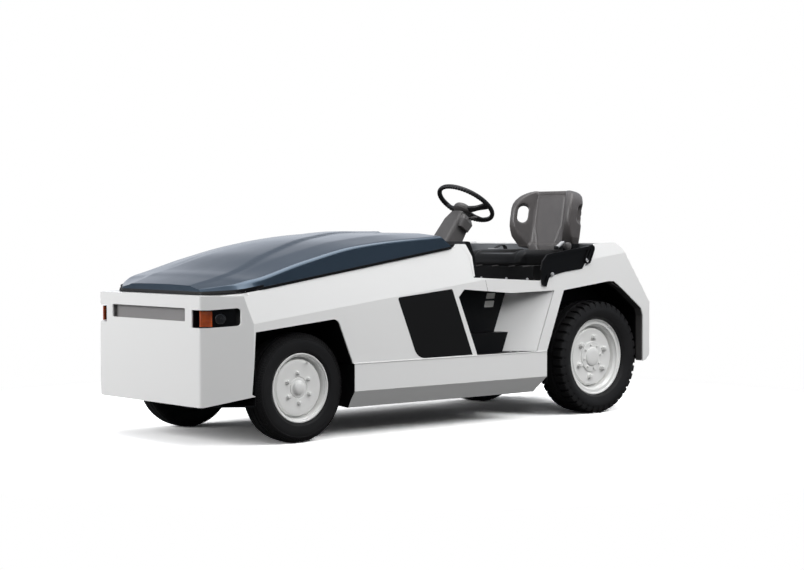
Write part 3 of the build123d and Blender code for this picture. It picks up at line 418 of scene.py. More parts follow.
def turned(points, centre, axis, steps, closed=False):
    """Spins a line of points round an axis; a closed line joins its own ends."""
    mesh = bmesh.new()
    verts = [mesh.verts.new(point) for point in points]
    ends = zip(verts, verts[1:] + verts[:1]) if closed else zip(verts, verts[1:])
    edges = [mesh.edges.new(pair) for pair in ends]
    bmesh.ops.spin(mesh, geom=verts + edges, cent=centre, axis=axis, angle=math.tau, steps=steps,
                   use_merge=True)
    bmesh.ops.remove_doubles(mesh, verts=mesh.verts, dist=1e-5)
    return mesh


# Places taken from the frame, in metres

sides = {"left": 1, "right": -1}
joints = {joint["name"]: joint for joint in frame["joints"]}


def wheel_centre(place, hand):
    """The middle of a wheel, where it spins."""
    return Vector(joints[f"{place}_{hand}_spin"]["pos_m"])


def reach(node, axis, end=max):
    """How far a CAD node reaches along an axis, to a tenth of a millimetre."""
    return round(end(vert.co[axis] for vert in frame["nodes"][node].data.vertices), 4)


flank = reach("side_panel_left", 1)
hood_back = reach("hood", 0, min)
hood_front = reach("hood", 0)
sill_foot = reach("sills", 2, min)
sill_top = reach("sills", 2)
base_front = reach("seat_base", 0)


# Tyres and rims

# half profiles of the tyres from the bead to the crown: distance from the middle, radius
front_tyre_half = [(0.061, 0.1725), (0.0625, 0.187), (0.069, 0.1905), (0.0735, 0.199),
                   (0.0765, 0.203), (0.078, 0.218), (0.079, 0.238), (0.0778, 0.253),
                   (0.0752, 0.259), (0.0764, 0.2615), (0.074, 0.267), (0.0715, 0.271),
                   (0.066, 0.28), (0.061, 0.2862), (0.056, 0.29), (0.05, 0.2915), (0.049, 0.285),
                   (0.044, 0.285), (0.043, 0.2925), (0.022, 0.294), (0.021, 0.287), (0.016, 0.287),
                   (0.015, 0.2945), (0.0, 0.295)]

rear_tyre_half = [(0.061, 0.2055), (0.0625, 0.2345), (0.076, 0.2375), (0.09, 0.245), (0.095, 0.248),
                  (0.101, 0.26), (0.106, 0.278), (0.108, 0.292), (0.1066, 0.302), (0.1052, 0.308),
                  (0.104, 0.312), (0.1024, 0.322), (0.1005, 0.332), (0.0965, 0.3405), (0.09, 0.344),
                  (0.062, 0.347), (0.034, 0.3488), (0.031, 0.336), (0.025, 0.336), (0.022, 0.3494),
                  (0.0, 0.35)]

# closed outlines of the rims from the inner flange round the outer face and back
front_rim_line = [(-0.068, 0.166), (-0.068, 0.186), (-0.0623, 0.186), (-0.0623, 0.1717),
                  (0.0617, 0.1717), (0.0623, 0.186), (0.064, 0.1868), (0.0665, 0.1862),
                  (0.068, 0.184), (0.068, 0.18), (0.0665, 0.1775), (0.0635, 0.1765),
                  (0.061, 0.1745), (0.0585, 0.17), (0.052, 0.1672), (0.04, 0.1652), (0.02, 0.164),
                  (0.0135, 0.1615), (0.014, 0.1575), (0.023, 0.1552), (0.04, 0.1525),
                  (0.0485, 0.145), (0.05, 0.136), (0.049, 0.12), (0.0478, 0.09), (0.0478, 0.06),
                  (0.0462, 0.058), (0.044, 0.057), (0.044, 0.0545), (0.0462, 0.0535),
                  (0.0482, 0.052), (0.049, 0.045), (0.0492, 0.04), (0.053, 0.0385), (0.0585, 0.036),
                  (0.063, 0.031), (0.0662, 0.023), (0.0678, 0.012), (0.0682, 0.0004),
                  (0.048, 0.0004), (0.048, 0.02005), (-0.012, 0.02005), (-0.012, 0.044),
                  (0.024, 0.05), (0.022, 0.14), (0.007, 0.15), (0.007, 0.1625), (-0.04, 0.1655)]

rear_rim_line = [(-0.07, 0.197), (-0.07, 0.234), (-0.0623, 0.234), (-0.0623, 0.2047),
                 (0.0617, 0.2047), (0.0623, 0.234), (0.0645, 0.2352), (0.068, 0.2346),
                 (0.07, 0.2315), (0.0698, 0.227), (0.0675, 0.2245), (0.064, 0.223),
                 (0.0618, 0.2195), (0.06, 0.213), (0.0585, 0.206), (0.0545, 0.203), (0.05, 0.2),
                 (0.044, 0.193), (0.028, 0.19), (0.008, 0.188), (0.002, 0.1855), (0.0025, 0.182),
                 (0.011, 0.1798), (0.03, 0.177), (0.038, 0.169), (0.0375, 0.15), (0.0352, 0.115),
                 (0.035, 0.096), (0.0365, 0.0945), (0.0415, 0.0935), (0.0435, 0.091),
                 (0.0435, 0.06), (0.045, 0.058), (0.05, 0.056), (0.054, 0.048), (0.056, 0.03),
                 (0.0562, 0.0004), (0.028, 0.0004), (0.028, 0.03005), (-0.058, 0.03005),
                 (-0.058, 0.068), (0.014, 0.074), (-0.006, 0.178), (-0.006, 0.19), (-0.04, 0.1965)]

# ridges on the front shoulders: between which radii, how far out, and the cut between two of them
ridge_radii = (0.2685, 0.2895)
ridge_from_middle = 0.057
ridge_rim = 0.0012
ridge_cut = 0.003

# lugs on the rear shoulders: steps for a lug with its gap and for the lug alone, and where the gaps are
lug_steps = 6
lug_solid = 4
gap_radius = 0.3085
gap_from_middle = 0.033
gap_foot = 0.307
gap_slope = 0.020
gap_flare = 0.004


def mirrored(profile):
    """A half profile from the bead to the crown, made whole."""
    return profile + [(-y, radius) for y, radius in reversed(profile) if y > 1e-6]


def turned_wheel(line, centre, steps):
    """Spins a closed outline round a wheel's axle."""
    points = [(centre.x, centre.y + y, centre.z + radius) for y, radius in line]
    return turned(points, centre, (0, 1, 0), steps, closed=True)


def on_tyre(face, centre, steps):
    """A face's radius, its distance from the middle and the number of its step."""
    middle = face.calc_center_median() - centre
    turn = (math.atan2(middle.x, middle.z) / math.tau) % 1.0
    return math.hypot(middle.x, middle.z), middle.y, int(turn * steps + 0.01)


def front_tyre(hand, sizes):
    """Ribbed steer tyre with fine ridges on the shoulders."""
    centre = wheel_centre("front", hand)
    steps = sizes.front_sipes * 2
    mesh = turned_wheel(mirrored(front_tyre_half), centre, steps)
    ridges = []
    for face in mesh.faces:
        radius, out, step = on_tyre(face, centre, steps)
        if ridge_radii[0] < radius < ridge_radii[1] and abs(out) > ridge_from_middle and step % 2:
            ridges.append(face)
    bmesh.ops.inset_individual(mesh, faces=ridges, thickness=ridge_rim, depth=-ridge_cut)
    tyre = piece(f"front_{hand}_tread", mesh, f"front_{hand}_wheel", "tyre_rubber", angle=28.0)
    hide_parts(f"front_{hand}_tyre")


def rear_tyre(hand, sizes):
    """Drive tyre whose shoulders are cut into lugs, half a lug apart from side to side."""
    centre = wheel_centre("rear", hand)
    steps = sizes.rear_lugs * lug_steps
    mesh = turned_wheel(mirrored(rear_tyre_half), centre, steps)
    gaps = {1: [], -1: []}
    for face in mesh.faces:
        radius, out, step = on_tyre(face, centre, steps)
        side = 1 if out > 0 else -1
        shifted = step if side > 0 else step + lug_steps // 2
        if radius > gap_radius and abs(out) > gap_from_middle and shifted % lug_steps >= lug_solid:
            gaps[side].append(face)
    for side, faces in gaps.items():
        grown = bmesh.ops.extrude_face_region(mesh, geom=faces)
        for vert in grown_verts(grown):
            spoke = Vector((vert.co.x - centre.x, 0.0, vert.co.z - centre.z))
            share = min(1.0, max(0.0, (spoke.length - gap_foot) / gap_slope))
            vert.co -= spoke.normalized() * sizes.lug_depth * share
            vert.co.y -= side * gap_flare * (1.0 - abs(share * 2 - 1.0))
        bmesh.ops.delete(mesh, geom=[face for face in faces if face.is_valid], context="FACES_ONLY")
    tyre = piece(f"rear_{hand}_tread", mesh, f"rear_{hand}_wheel", "tyre_rubber", angle=28.0)
    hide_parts(f"rear_{hand}_tyre")


def rim(place, hand, side, line):
    """Pressed steel rim with its flange, well, disc and hub."""
    mesh = turned_wheel([(side * y, radius) for y, radius in line], wheel_centre(place, hand), 96)
    made = piece(f"{place}_{hand}_disc", mesh, f"{place}_{hand}_wheel", "rim_paint", angle=24.0)
    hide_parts(f"{place}_{hand}_rim")


class TUG_OT_tyres(bpy.types.Operator):
    """Cut the treads of the four tyres and press their rims"""
    bl_idname = "tug.tyres"
    bl_label = "Tyres"

    def execute(self, context):
        for hand, side in sides.items():
            front_tyre(hand, context.scene.tug_sizes)
            rear_tyre(hand, context.scene.tug_sizes)
            rim("front", hand, side, front_rim_line)
            rim("rear", hand, side, rear_rim_line)
        return {"FINISHED"}


# rings of nuts: count, circle, first angle, height on the face, nut's radius, height and washer's share
front_nuts = (6, 0.080, 4, 0.0472, 0.0105, 0.017, 1.25)
rear_nuts = (6, 0.122, -8, 0.0352, 0.0150, 0.026, 1.3)
hub_bolts = (8, 0.074, 10, 0.0432, 0.0065, 0.009, 1.35)

# valves: angle, stem's radius, and (circle, height on the face) at its foot and its tip
front_valve = (-22, 0.0045, (0.1430, 0.048), (0.1430, 0.070))
rear_valve = (-34, 0.0042, (0.2035, 0.060), (0.2300, 0.072))


def on_wheel(centre, side, radius, degrees, out):
    """A point on a wheel's outer face."""
    turn = math.radians(degrees)
    return centre + Vector((radius * math.sin(turn), side * out, radius * math.cos(turn)))


def wheel_fittings(place, hand, side, nut_rings, valve):
    """The nuts and the valve of one wheel."""
    centre = wheel_centre(place, hand)
    mesh = bmesh.new()
    for count, ring, first, out, radius, height, washer in nut_rings:
        for index in range(count):
            spot = on_wheel(centre, side, ring, 360 / count * index + first, out)
            add_bolt(mesh, spot, (0, side, 0), radius, height, washer=washer)
    degrees, radius, *ends = valve
    foot, tip = [on_wheel(centre, side, ring, degrees, out) for ring, out in ends]
    add_bolt(mesh, foot, tip - foot, radius, (tip - foot).length, flats=10, washer=1.5)
    piece(f"{place}_{hand}_nuts", mesh, f"{place}_{hand}_wheel", "rim_paint")


class TUG_OT_wheel_nuts(bpy.types.Operator):
    """Set the nuts, hub bolts and valves on the rims"""
    bl_idname = "tug.wheel_nuts"
    bl_label = "Wheel nuts"

    def execute(self, context):
        for hand, side in sides.items():
            wheel_fittings("front", hand, side, (front_nuts,), front_valve)
            wheel_fittings("rear", hand, side, (rear_nuts, hub_bolts), rear_valve)
        return {"FINISHED"}


# Hood, its seal and its lip

# line of the seal on the left, from the seat round the nose's corner: x, y
seal_line = ((0.088, 0.612), (1.409, 0.612), (1.484, 0.6045), (1.543, 0.576), (1.603, 0.485),
             (1.6575, 0.380))
seal_sunk = 0.0015
# the seal is a real seal, raised as tall as the dark gap under the hood's edge, so part of its black is painted
# shadow
seal_rise = 0.0145
nose_seal_rise = 0.0055
nose_seal_start = 1.45
lip_start = 1.3
lip_half = 0.0018
lip_foot = 0.790
lip_sunk = 0.0005

# edge of the body under the hood: front end of the flank's top as x and z, its slope, and the nose's top
flank_end = (1.513, 0.812)
flank_slope = 0.153
nose_top = 0.7952

# hood along its length: x, then y and z of its bottom edge, crease and inner line, and the crown's z
hood_stations = (
    (0.085, 0.606, 1.043, 0.590, 1.100, 0.405, 1.116, 1.120),
    (0.400, 0.606, 0.995, 0.590, 1.082, 0.400, 1.109, 1.120),
    (0.757, 0.606, 0.940, 0.590, 1.048, 0.395, 1.074, 1.087),
    (1.132, 0.606, 0.882, 0.590, 0.966, 0.390, 0.992, 1.005),
    (1.410, 0.606, 0.840, 0.589, 0.888, 0.386, 0.903, 0.911),
    (1.480, 0.599, 0.828, 0.567, 0.872, 0.375, 0.885, 0.891),
    (1.535, 0.573, 0.818, 0.527, 0.854, 0.356, 0.867, 0.873),
    (1.594, 0.482, 0.809, 0.447, 0.838, 0.339, 0.850, 0.855),
    (1.650, 0.380, 0.803, 0.375, 0.823, 0.320, 0.833, 0.838))

# half width of the hood's raised centre panel: x, y
panel_border = ((0.085, 0.060), (0.400, 0.075), (0.757, 0.150), (1.132, 0.265), (1.480, 0.345),
                (1.650, 0.300))
panel_rise = 0.008
panel_slope = 0.030
crease_cut = 0.020
hood_bend = 1.410
rear_slant = 1.15
slant_length = 0.30
slant_height = 0.060
skin_wall = 0.0035

# black band under the hood's front edge, part seal and part painted shade of the rim: its two faces, foot and top,
# and its points across the front
edge_out = 0.0034
edge_in = 0.00136
edge_sunk = 0.003
edge_rise = 0.0115
edge_front = [(1.651, 0.374, 0.803), (1.652, 0.0, 0.803)]


def panel_top(x):
    """Height of the body's edge under the hood: the flank's slope, then the nose's top."""
    return max(flank_end[1] - flank_slope * (x - flank_end[0]), nose_top)


def both_sides(half):
    """A line on the left side, carried on over the middle to the right."""
    return [*half, *((x, -y, *rest) for x, y, *rest in reversed(half) if y > 0)]


def outwards(path):
    """The level directions to the left of a path, at each of its points."""
    return [Vector((-run.y, run.x, 0.0)).normalized() for run in runs(path)]


def smooth(share):
    """Eases a share from 0 to 1 at both ends."""
    return share * share * (3 - 2 * share)


def eased(table, column, x):
    """A table's column at x, by a smooth curve that doesn't overshoot."""
    last = len(table) - 1
    slopes = [(high[column] - low[column]) / (high[0] - low[0]) for low, high in zip(table, table[1:])]
    index = max(k for k in range(last) if x >= table[k][0] - 1e-9)
    tangents = []
    for knot in (index, index + 1):
        before, after = slopes[max(knot - 1, 0)], slopes[min(knot, last - 1)]
        tangents.append(0.0 if before * after <= 0 else 2 * before * after / (before + after))
    low, high = table[index], table[index + 1]
    span = high[0] - low[0]
    t = (x - low[0]) / span
    return ((1 + 2 * t) * (1 - t) ** 2 * low[column] + t * (1 - t) ** 2 * span * tangents[0]
            + smooth(t) * high[column] + t * t * (t - 1) * span * tangents[1])


def hood_section(x):
    """Half section of the hood's skin from its bottom edge to the crown."""
    values = [eased(hood_stations, column, x) for column in range(1, 8)]
    bottom, crease, inner = [Vector(values[index:index + 2]) for index in (0, 2, 4)]
    crown = values[6]
    down, across = bottom - crease, inner - crease
    half = down.angle(across) / 2
    cut = min(crease_cut, 0.5 * down.length)
    radius = cut * math.tan(half)
    down.normalize()
    across.normalize()
    centre = crease + (down + across).normalized() * radius / math.sin(half)
    start, end = crease + down * cut, crease + across * cut
    side = [bottom.lerp(start, step / 4) for step in range(4)] + arc(centre, start, end, radius, 8)
    top = [end.lerp(inner, step / 8) for step in range(1, 8)]
    for step in range(19):
        y = inner.x * (1 - step / 18)
        top.append(Vector((y, crown - (crown - inner.y) * (y / inner.x) ** 2)))
    border = eased(panel_border, 1, x)
    for point in top:
        point.y += panel_rise * smooth(min(1.0, max(0.0, (border - point.x) / panel_slope + 0.5)))
    return side + top


def hood_places():
    """Places along the hood, closer together over the nose."""
    back = [hood_back + (hood_bend - hood_back) * step / 40 for step in range(40)]
    return back + [hood_bend + (hood_front - hood_bend) * step / 30 for step in range(31)]


class TUG_OT_hood_skin(bpy.types.Operator):
    """Lay the hood's smooth outer skin over its shell, with the black band under its front edge, which is part
    seal and part painted shade
    """
    bl_idname = "tug.hood_skin"
    bl_label = "Hood skin"

    def execute(self, context):
        mesh = bmesh.new()
        rows = []
        for x in hood_places():
            half = hood_section(x)
            whole = half + [Vector((-point.x, point.y)) for point in reversed(half[:-1])]
            slant = rear_slant * max(0.0, 1 - (x - hood_back) / slant_length) ** 2
            foot = whole[0].y
            rows.append([mesh.verts.new((x + slant * min(point.y - foot, slant_height), point.x, point.y))
                         for point in whole])
        for first, second in zip(rows, rows[1:]):
            for index in range(len(first) - 1):
                mesh.faces.new((first[index], second[index], second[index + 1], first[index + 1]))
        mesh.faces.new(rows[-1])
        bmesh.ops.recalc_face_normals(mesh, faces=mesh.faces)
        mesh.normal_update()
        if sum(face.normal.z for face in mesh.faces) < 0:
            bmesh.ops.reverse_faces(mesh, faces=mesh.faces)
        mesh.normal_update()
        for vert in mesh.verts:
            vert.co += vert.normal * context.scene.tug_sizes.skin_lift
        bmesh.ops.solidify(mesh, geom=mesh.faces[:], thickness=skin_wall)
        skin = piece("hood_skin", mesh, "hood_lid", "hood_paint", angle=32.0)
        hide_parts("hood")

        corner = [(x, eased(hood_stations, 1, x), eased(hood_stations, 2, x))
                  for x in hood_places() if x >= hood_bend]
        path = both_sides(corner[:-1] + edge_front)
        stations = []
        for (x, y, z), outward in zip(path, outwards(path)):
            place = Vector((x, y, 0.0))
            stations.append((place + outward * edge_out, place - outward * edge_in,
                             z - edge_sunk, z + edge_rise))
        mesh = bmesh.new()
        wall(mesh, stations)
        # black rubber over the hood's lower rim: part seal, part painted shade
        piece("hood_edge", mesh, "hood_lid", "mat_rubber", "seal")
        return {"FINISHED"}


class TUG_OT_hood_seal(bpy.types.Operator):
    """Lay the black seal between the hood and the body, tall enough that part of it is painted shadow of the gap,
    and the body's lip round the nose
    """
    bl_idname = "tug.hood_seal"
    bl_label = "Hood seal"

    def execute(self, context):
        width = context.scene.tug_sizes.seal_width
        path = both_sides(seal_line)
        stations = []
        for (x, y), outward in zip(path, outwards(path)):
            near = Vector((x, y, 0.0))
            foot = panel_top(x) - seal_sunk
            rise = seal_rise if x < nose_seal_start else nose_seal_rise
            stations.append((near, near + outward * width, foot, foot + rise))
        mesh = bmesh.new()
        wall(mesh, stations)
        seal = piece("hood_seal", mesh, "vehicle", "mat_rubber", "seal")
        bevel = seal.modifiers.new("Round edges", "BEVEL")
        bevel.width = 0.001
        bevel.segments = 2

        mesh = bmesh.new()
        wall(mesh, [((x, y + math.copysign(lip_half, y)), (x, y - math.copysign(lip_half, y)),
                     lip_foot, panel_top(x) - lip_sunk) for x, y in path if x > lip_start])
        piece("hood_lip", mesh, "vehicle", "body_paint")
        return {"FINISHED"}


# Trim on the body

def plate(mesh, outline, side, y, thickness):
    """A thin plate on one side, from its outline in x and z and the y of its inner face."""
    add_prism(mesh, [(x, side * y, z) for x, z in outline], (0, side * thickness, 0))


# black film on the flank, and two blank labels on the recess wall as left, foot, right and top
film_outline = rounded([(0.520, 0.763), (0.111, 0.802), (-0.049, 0.420), (0.374, 0.4185)],
                       {0: 0.01, 1: 0.01, 3: 0.085})
film_gap = 0.0002
label_boxes = ((-0.415, 0.728, -0.345, 0.762), (-0.405, 0.678, -0.330, 0.716))
label_lean = 0.010
label_corner = 0.004
label_face = 0.4452
label_film = 0.0005


class TUG_OT_side_film(bpy.types.Operator):
    """Lay the black film on both flanks and the plain labels in the recesses"""
    bl_idname = "tug.side_film"
    bl_label = "Side film"

    def execute(self, context):
        for hand, side in sides.items():
            mesh = bmesh.new()
            plate(mesh, film_outline, side, flank + film_gap, context.scene.tug_sizes.film)
            piece(f"side_film_{hand}", mesh, "vehicle", "trim_black", "film")
            mesh = bmesh.new()
            for left, foot, right, top in label_boxes:
                corners = [(left, foot), (right, foot), (right - label_lean, top), (left - label_lean, top)]
                outline = rounded(corners, dict.fromkeys(range(4), label_corner), 3)
                plate(mesh, outline, side, label_face, label_film)
            piece(f"blank_labels_{hand}", mesh, "vehicle", "clear_lens", "label")
        return {"FINISHED"}


# bead along the sill as y and z, and cap on the sill's front end as x and y
bead_line = ((0.645, 0.410), (0.6476, 0.4108), (0.6482, 0.413), (0.6474, 0.4152), (0.645, 0.4162))
bead_start = -0.660
bead_length = 1.496
cap_plan = ((0.800, 0.4705), (0.800, 0.490), (0.830, 0.615), (0.830, 0.6475), (0.8335, 0.6475),
            (0.8335, 0.6142), (0.8035, 0.4893), (0.8035, 0.4705))
cap_cut = 0.580
cap_cut_slope = (0.094, -0.0685)


class TUG_OT_sill_trim(bpy.types.Operator):
    """Fit the bead along the top of both sills and the black caps on their front ends"""
    bl_idname = "tug.sill_trim"
    bl_label = "Sill trim"

    def execute(self, context):
        for hand, side in sides.items():
            mesh = bmesh.new()
            add_prism(mesh, [(bead_start, side * y, z) for y, z in bead_line], (bead_length, 0, 0))
            piece(f"sill_bead_{hand}", mesh, "vehicle", "body_paint")
            mesh = bmesh.new()
            add_prism(mesh, [(x, side * y, sill_foot) for x, y in cap_plan], (0, 0, sill_top - sill_foot))
            bmesh.ops.bisect_plane(mesh, geom=mesh.verts[:] + mesh.edges[:] + mesh.faces[:],
                                   plane_co=(0, side * cap_cut, sill_foot),
                                   plane_no=(0, side * cap_cut_slope[0], cap_cut_slope[1]), clear_outer=True)
            bmesh.ops.holes_fill(mesh, edges=[edge for edge in mesh.edges if edge.is_boundary])
            piece(f"sill_cap_{hand}", mesh, "vehicle", "frame_black")
        return {"FINISHED"}


# dash under the column and the flank's rear corner, both as x and z
dash_outline = rounded([(0.075, 0.842), (0.075, 1.054), (-0.036, 1.054), (-0.046, 1.072), (-0.078, 1.070),
                        (-0.118, 0.985), (-0.133, 0.870), (-0.115, 0.842)],
                       {3: 0.004, 4: 0.012, 5: 0.025, 6: 0.020}, 4)
dash_half = 0.5895
dash_web = ((0.0662, -0.437, 0.600), (0.075, 0.437, 0.842))
corner_outline = rounded([(0.062, 1.036), (0.040, 1.056), (-0.033, 1.056), (-0.070, 0.985), (-0.069, 0.870),
                          (-0.060, 0.870), (-0.046, 0.985), (0.010, 1.053)], {2: 0.010, 3: 0.020}, 4)
corner_faces = (0.6005, 0.5925)
corner_top = 1.055
corner_slope = 0.2278

# seam behind the film and the return round the rear arch, both as x and z; the return is grey, darker than the
# body paint round it, as painted shade inside the arch
seam_outline = ((-0.150, 0.846), (-0.1516, 0.846), (-0.1726, 0.776), (-0.171, 0.776))
seam_gap = 0.0001
seam_film = 0.0004
arch_line = rounded([(-1.230, 0.8185), (-1.3365, 0.7665), (-1.5085, 0.6445), (-1.5245, 0.5995),
                     (-1.5265, 0.314)], {1: 0.03, 2: 0.02, 3: 0.02}, 4)
arch_return_y = 0.613
arch_return = (0.048, 0.0026)


class TUG_OT_cowl(bpy.types.Operator):
    """Shape the dash below the column, the flanks' rear corners and seams, and the arch returns, grey as painted
    shade
    """
    bl_idname = "tug.cowl"
    bl_label = "Cowl"

    def execute(self, context):
        mesh = bmesh.new()
        add_prism(mesh, [(x, -dash_half, z) for x, z in dash_outline], (0, 2 * dash_half, 0))
        add_box(mesh, *dash_web)
        cowl = piece("dash_cowl", mesh, "vehicle", "trim_black")
        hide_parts("dash_panel")
        for hand, side in sides.items():
            mesh = bmesh.new()
            loft(mesh, [[mesh.verts.new((x, side * (face + corner_slope * (corner_top - z)), z))
                         for x, z in corner_outline] for face in corner_faces])
            piece(f"flank_corner_{hand}", mesh, "vehicle", "body_paint")
            mesh = bmesh.new()
            plate(mesh, seam_outline, side, flank + seam_gap, seam_film)
            piece(f"panel_seam_{hand}", mesh, "vehicle", "mat_rubber", "seal")
            mesh = bmesh.new()
            strap(mesh, [(x, side * arch_return_y, z) for x, z in arch_line], *arch_return, (0, 1, 0))
            # grey in place of body paint: painted shade on the return inside the arch
            piece(f"rear_arch_return_{hand}", mesh, "vehicle", "shroud_grey")
        return {"FINISHED"}


# round lamp on the left: where it looks, its middle, its trim ring as radius and height, and its painted glint, a
# small white dome that stands for the lens's highlight
lamp_facing = (0.64, 0.77)
lamp_middle = (1.6225, 0.5205, 0.677)
lamp_glass = 0.0035
ring_line = ((0.030, 0.0), (0.030, 0.0035), (0.0285, 0.0045), (0.0265, 0.0035), (0.0262, 0.0))
glint_radius = 0.0055
glint_offset = (0.015, 0.004)


class TUG_OT_lamps(bpy.types.Operator):
    """Set the painted glints, small white domes for the lenses' highlights, and the trim rings of the round lamps
    """
    bl_idname = "tug.lamps"
    bl_label = "Lamps"

    def execute(self, context):
        for hand, side in sides.items():
            normal = Vector((lamp_facing[0], side * lamp_facing[1], 0)).normalized()
            across = Vector((-normal.y, normal.x, 0)) * side
            centre = Vector((lamp_middle[0], side * lamp_middle[1], lamp_middle[2])) + normal * lamp_glass
            line = [centre + normal * height + across * radius for radius, height in ring_line]
            piece(f"lamp_ring_{hand}", turned(line, centre, normal, 48), "vehicle", "trim_black")
            # small white dome on the lens: a painted highlight
            mesh = bmesh.new()
            glint = centre + across * glint_offset[0] + Vector((0, 0, glint_offset[1]))
            bmesh.ops.create_uvsphere(mesh, u_segments=16, v_segments=10, radius=glint_radius,
                                      matrix=Matrix.Translation(glint))
            piece(f"lamp_glint_{hand}", mesh, "vehicle", "clear_lens", "label")
        return {"FINISHED"}


# bolts: hip guards as x and z, seat base as y, recess sills as x, tail as z
guard_bolts = ((-0.700, 0.872), (-0.993, 0.955))
guard_face = 0.650
base_bolts = (-0.52, -0.30, -0.08, 0.14, 0.36, 0.54)
base_bolt_height = 0.842
sill_bolts = (-0.40, -0.46)
sill_bolt_place = (0.6, 0.4172)
tail_bolts = (0.34, 0.48)
tail_bolt_place = (-1.6062, 0.085)

# slots in the seat base's front lip, as lips of a lighter grey than the base, a painted highlight: their middles,
# half a slot, and the lip as depth and z
base_slot_highlights = (0.122, 0.265, 0.409, 0.530)
slot_half = 0.028
slot_drop = 0.006
slot_lip = ((0.0005, 0.913), (0.0035, 0.915), (0.0035, 0.918), (0.0005, 0.920))

# grab loop beside the seat as x and z, and its foot on the deck
grab_line = rounded([(-0.965, 0.940), (-1.020, 0.934), (-1.068, 1.036), (-1.030, 1.046)],
                    {0: 0.022, 1: 0.022, 2: 0.018, 3: 0.018}, 5)
grab_face = 0.6535
grab_strip = (0.012, 0.0085)
grab_foot = ((-1.075, 1.020), (-1.020, 1.052))
grab_foot_y = (0.505, 0.012)


class TUG_OT_fasteners(bpy.types.Operator):
    """Set the bolts of the guards, seat base, sills and tail, the base's slots with their painted highlights, and
    the grab loops
    """
    bl_idname = "tug.fasteners"
    bl_label = "Fasteners"

    def execute(self, context):
        mesh = bmesh.new()
        for side in sides.values():
            for x, z in guard_bolts:
                add_bolt(mesh, (x, side * guard_face, z), (0, side, 0), 0.010, 0.010)
        for y in base_bolts:
            add_bolt(mesh, (base_front, y, base_bolt_height), (1, 0, 0.05), 0.007, 0.006)
        for side in sides.values():
            for x in sill_bolts:
                add_bolt(mesh, (x, side * sill_bolt_place[0], sill_bolt_place[1]), (0, 0, 1), 0.007, 0.004)
            for z in tail_bolts:
                add_bolt(mesh, (tail_bolt_place[0], side * tail_bolt_place[1], z), (-1, 0, 0), 0.012, 0.012)
        piece("fasteners", mesh, "vehicle", "bare_steel")

        # the lips are lighter grey than the black base: painted highlights of the slots
        mesh = bmesh.new()
        for y in base_slot_highlights:
            lip = [(base_front + out, y - slot_half, z) for out, z in slot_lip]
            add_prism(mesh, lip, (0, 2 * slot_half, slot_drop))
        piece("base_slot_highlights", mesh, "vehicle", "shroud_grey")

        mesh = bmesh.new()
        for side in sides.values():
            loop = [(x, side * grab_face, z) for x, z in grab_line + grab_line[:1]]
            strap(mesh, loop, *grab_strip, (0, 1, 0))
            middle, half = side * grab_foot_y[0], grab_foot_y[1]
            (back, low), (front, high) = grab_foot
            add_box(mesh, (back, middle - half, low), (front, middle + half, high))
        piece("grab_loops", mesh, "vehicle", "trim_black")
        return {"FINISHED"}


# Steering wheel

# grip ring: its radius, its section's radius, and the finger bumps under it
ring_radius = 0.174
grip_radius = 0.0132
bump_count = 60
bump_height = 0.0042
bump_turn = 0.35

# spoke sleeves: angles, inner end, length, how far they sink to the hub, and how wide and thick
spoke_degrees = (8, 172, 90)
spoke_start = 0.040
spoke_length = 0.132
spoke_sunk = 0.042
spoke_climb = 0.038
spoke_half = 0.029
spoke_waist = 0.008
spoke_thick = 0.015
spoke_thinner = 0.0025

# domed pad on the hub: radius, height along the column
pad_line = ((0.0, -0.019), (0.020, -0.0195), (0.038, -0.0225), (0.050, -0.0295), (0.0565, -0.040),
            (0.058, -0.052), (0.056, -0.060), (0.048, -0.066), (0.030, -0.0705), (0.0, -0.071))


class TUG_OT_hand_wheel(bpy.types.Operator):
    """Mould the finger grips, the hub pad and the spoke sleeves of the steering wheel"""
    bl_idname = "tug.hand_wheel"
    bl_label = "Hand wheel"

    def execute(self, context):
        hub = Vector(joints["hand_wheel_turn"]["pos_m"])
        axis = Vector(joints["hand_wheel_turn"]["axis"]).normalized()
        side = Vector((0, 1, 0))
        down = axis.cross(side)
        mesh = bmesh.new()
        rings = []
        for turn in circle(360):
            spoke = side * math.cos(turn) + down * math.sin(turn)
            swell = bump_height * abs(math.sin(bump_count / 2 * turn)) ** 0.7
            ring = []
            for part in circle(16):
                thick = grip_radius + swell * max(0.0, -math.sin(part - bump_turn)) ** 2
                place = hub + spoke * (ring_radius + thick * math.cos(part)) + axis * thick * math.sin(part)
                ring.append(mesh.verts.new(place))
            rings.append(ring)
        loft(mesh, rings + rings[:1], capped=False)
        for degrees in spoke_degrees:
            turn = math.radians(degrees)
            spoke = side * math.cos(turn) + down * math.sin(turn)
            along = axis.cross(spoke)
            rings = []
            for share in (step / 8 for step in range(9)):
                middle = hub + spoke * (spoke_start + spoke_length * share)
                middle -= axis * (spoke_sunk - spoke_climb * share ** 1.3)
                wide = along * (spoke_half - spoke_waist * math.sin(math.pi * share) ** 2)
                thick = axis * (spoke_thick - spoke_thinner * share)
                rings.append([mesh.verts.new(middle + wide * math.cos(part) + thick * math.sin(part))
                              for part in circle(14)])
            loft(mesh, rings)
        wheel = piece("grip_ring", mesh, "hand_wheel", "wheel_black", angle=60.0)
        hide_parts("steering_wheel")
        pad = turned([hub + side * radius + axis * height for radius, height in pad_line], hub, axis, 48)
        piece("hub_pad", pad, "hand_wheel", "shroud_grey", angle=30.0)
        return {"FINISHED"}


# Seat

seam_width = 0.005

# cushion's seam lines: their distance from the seat's middle, and how they spread from their narrowest x
seat_middle = 0.240
cushion_seam_half = 0.175
cushion_spread = 0.10
cushion_narrow = -0.82
cushion_seam_share = 0.6

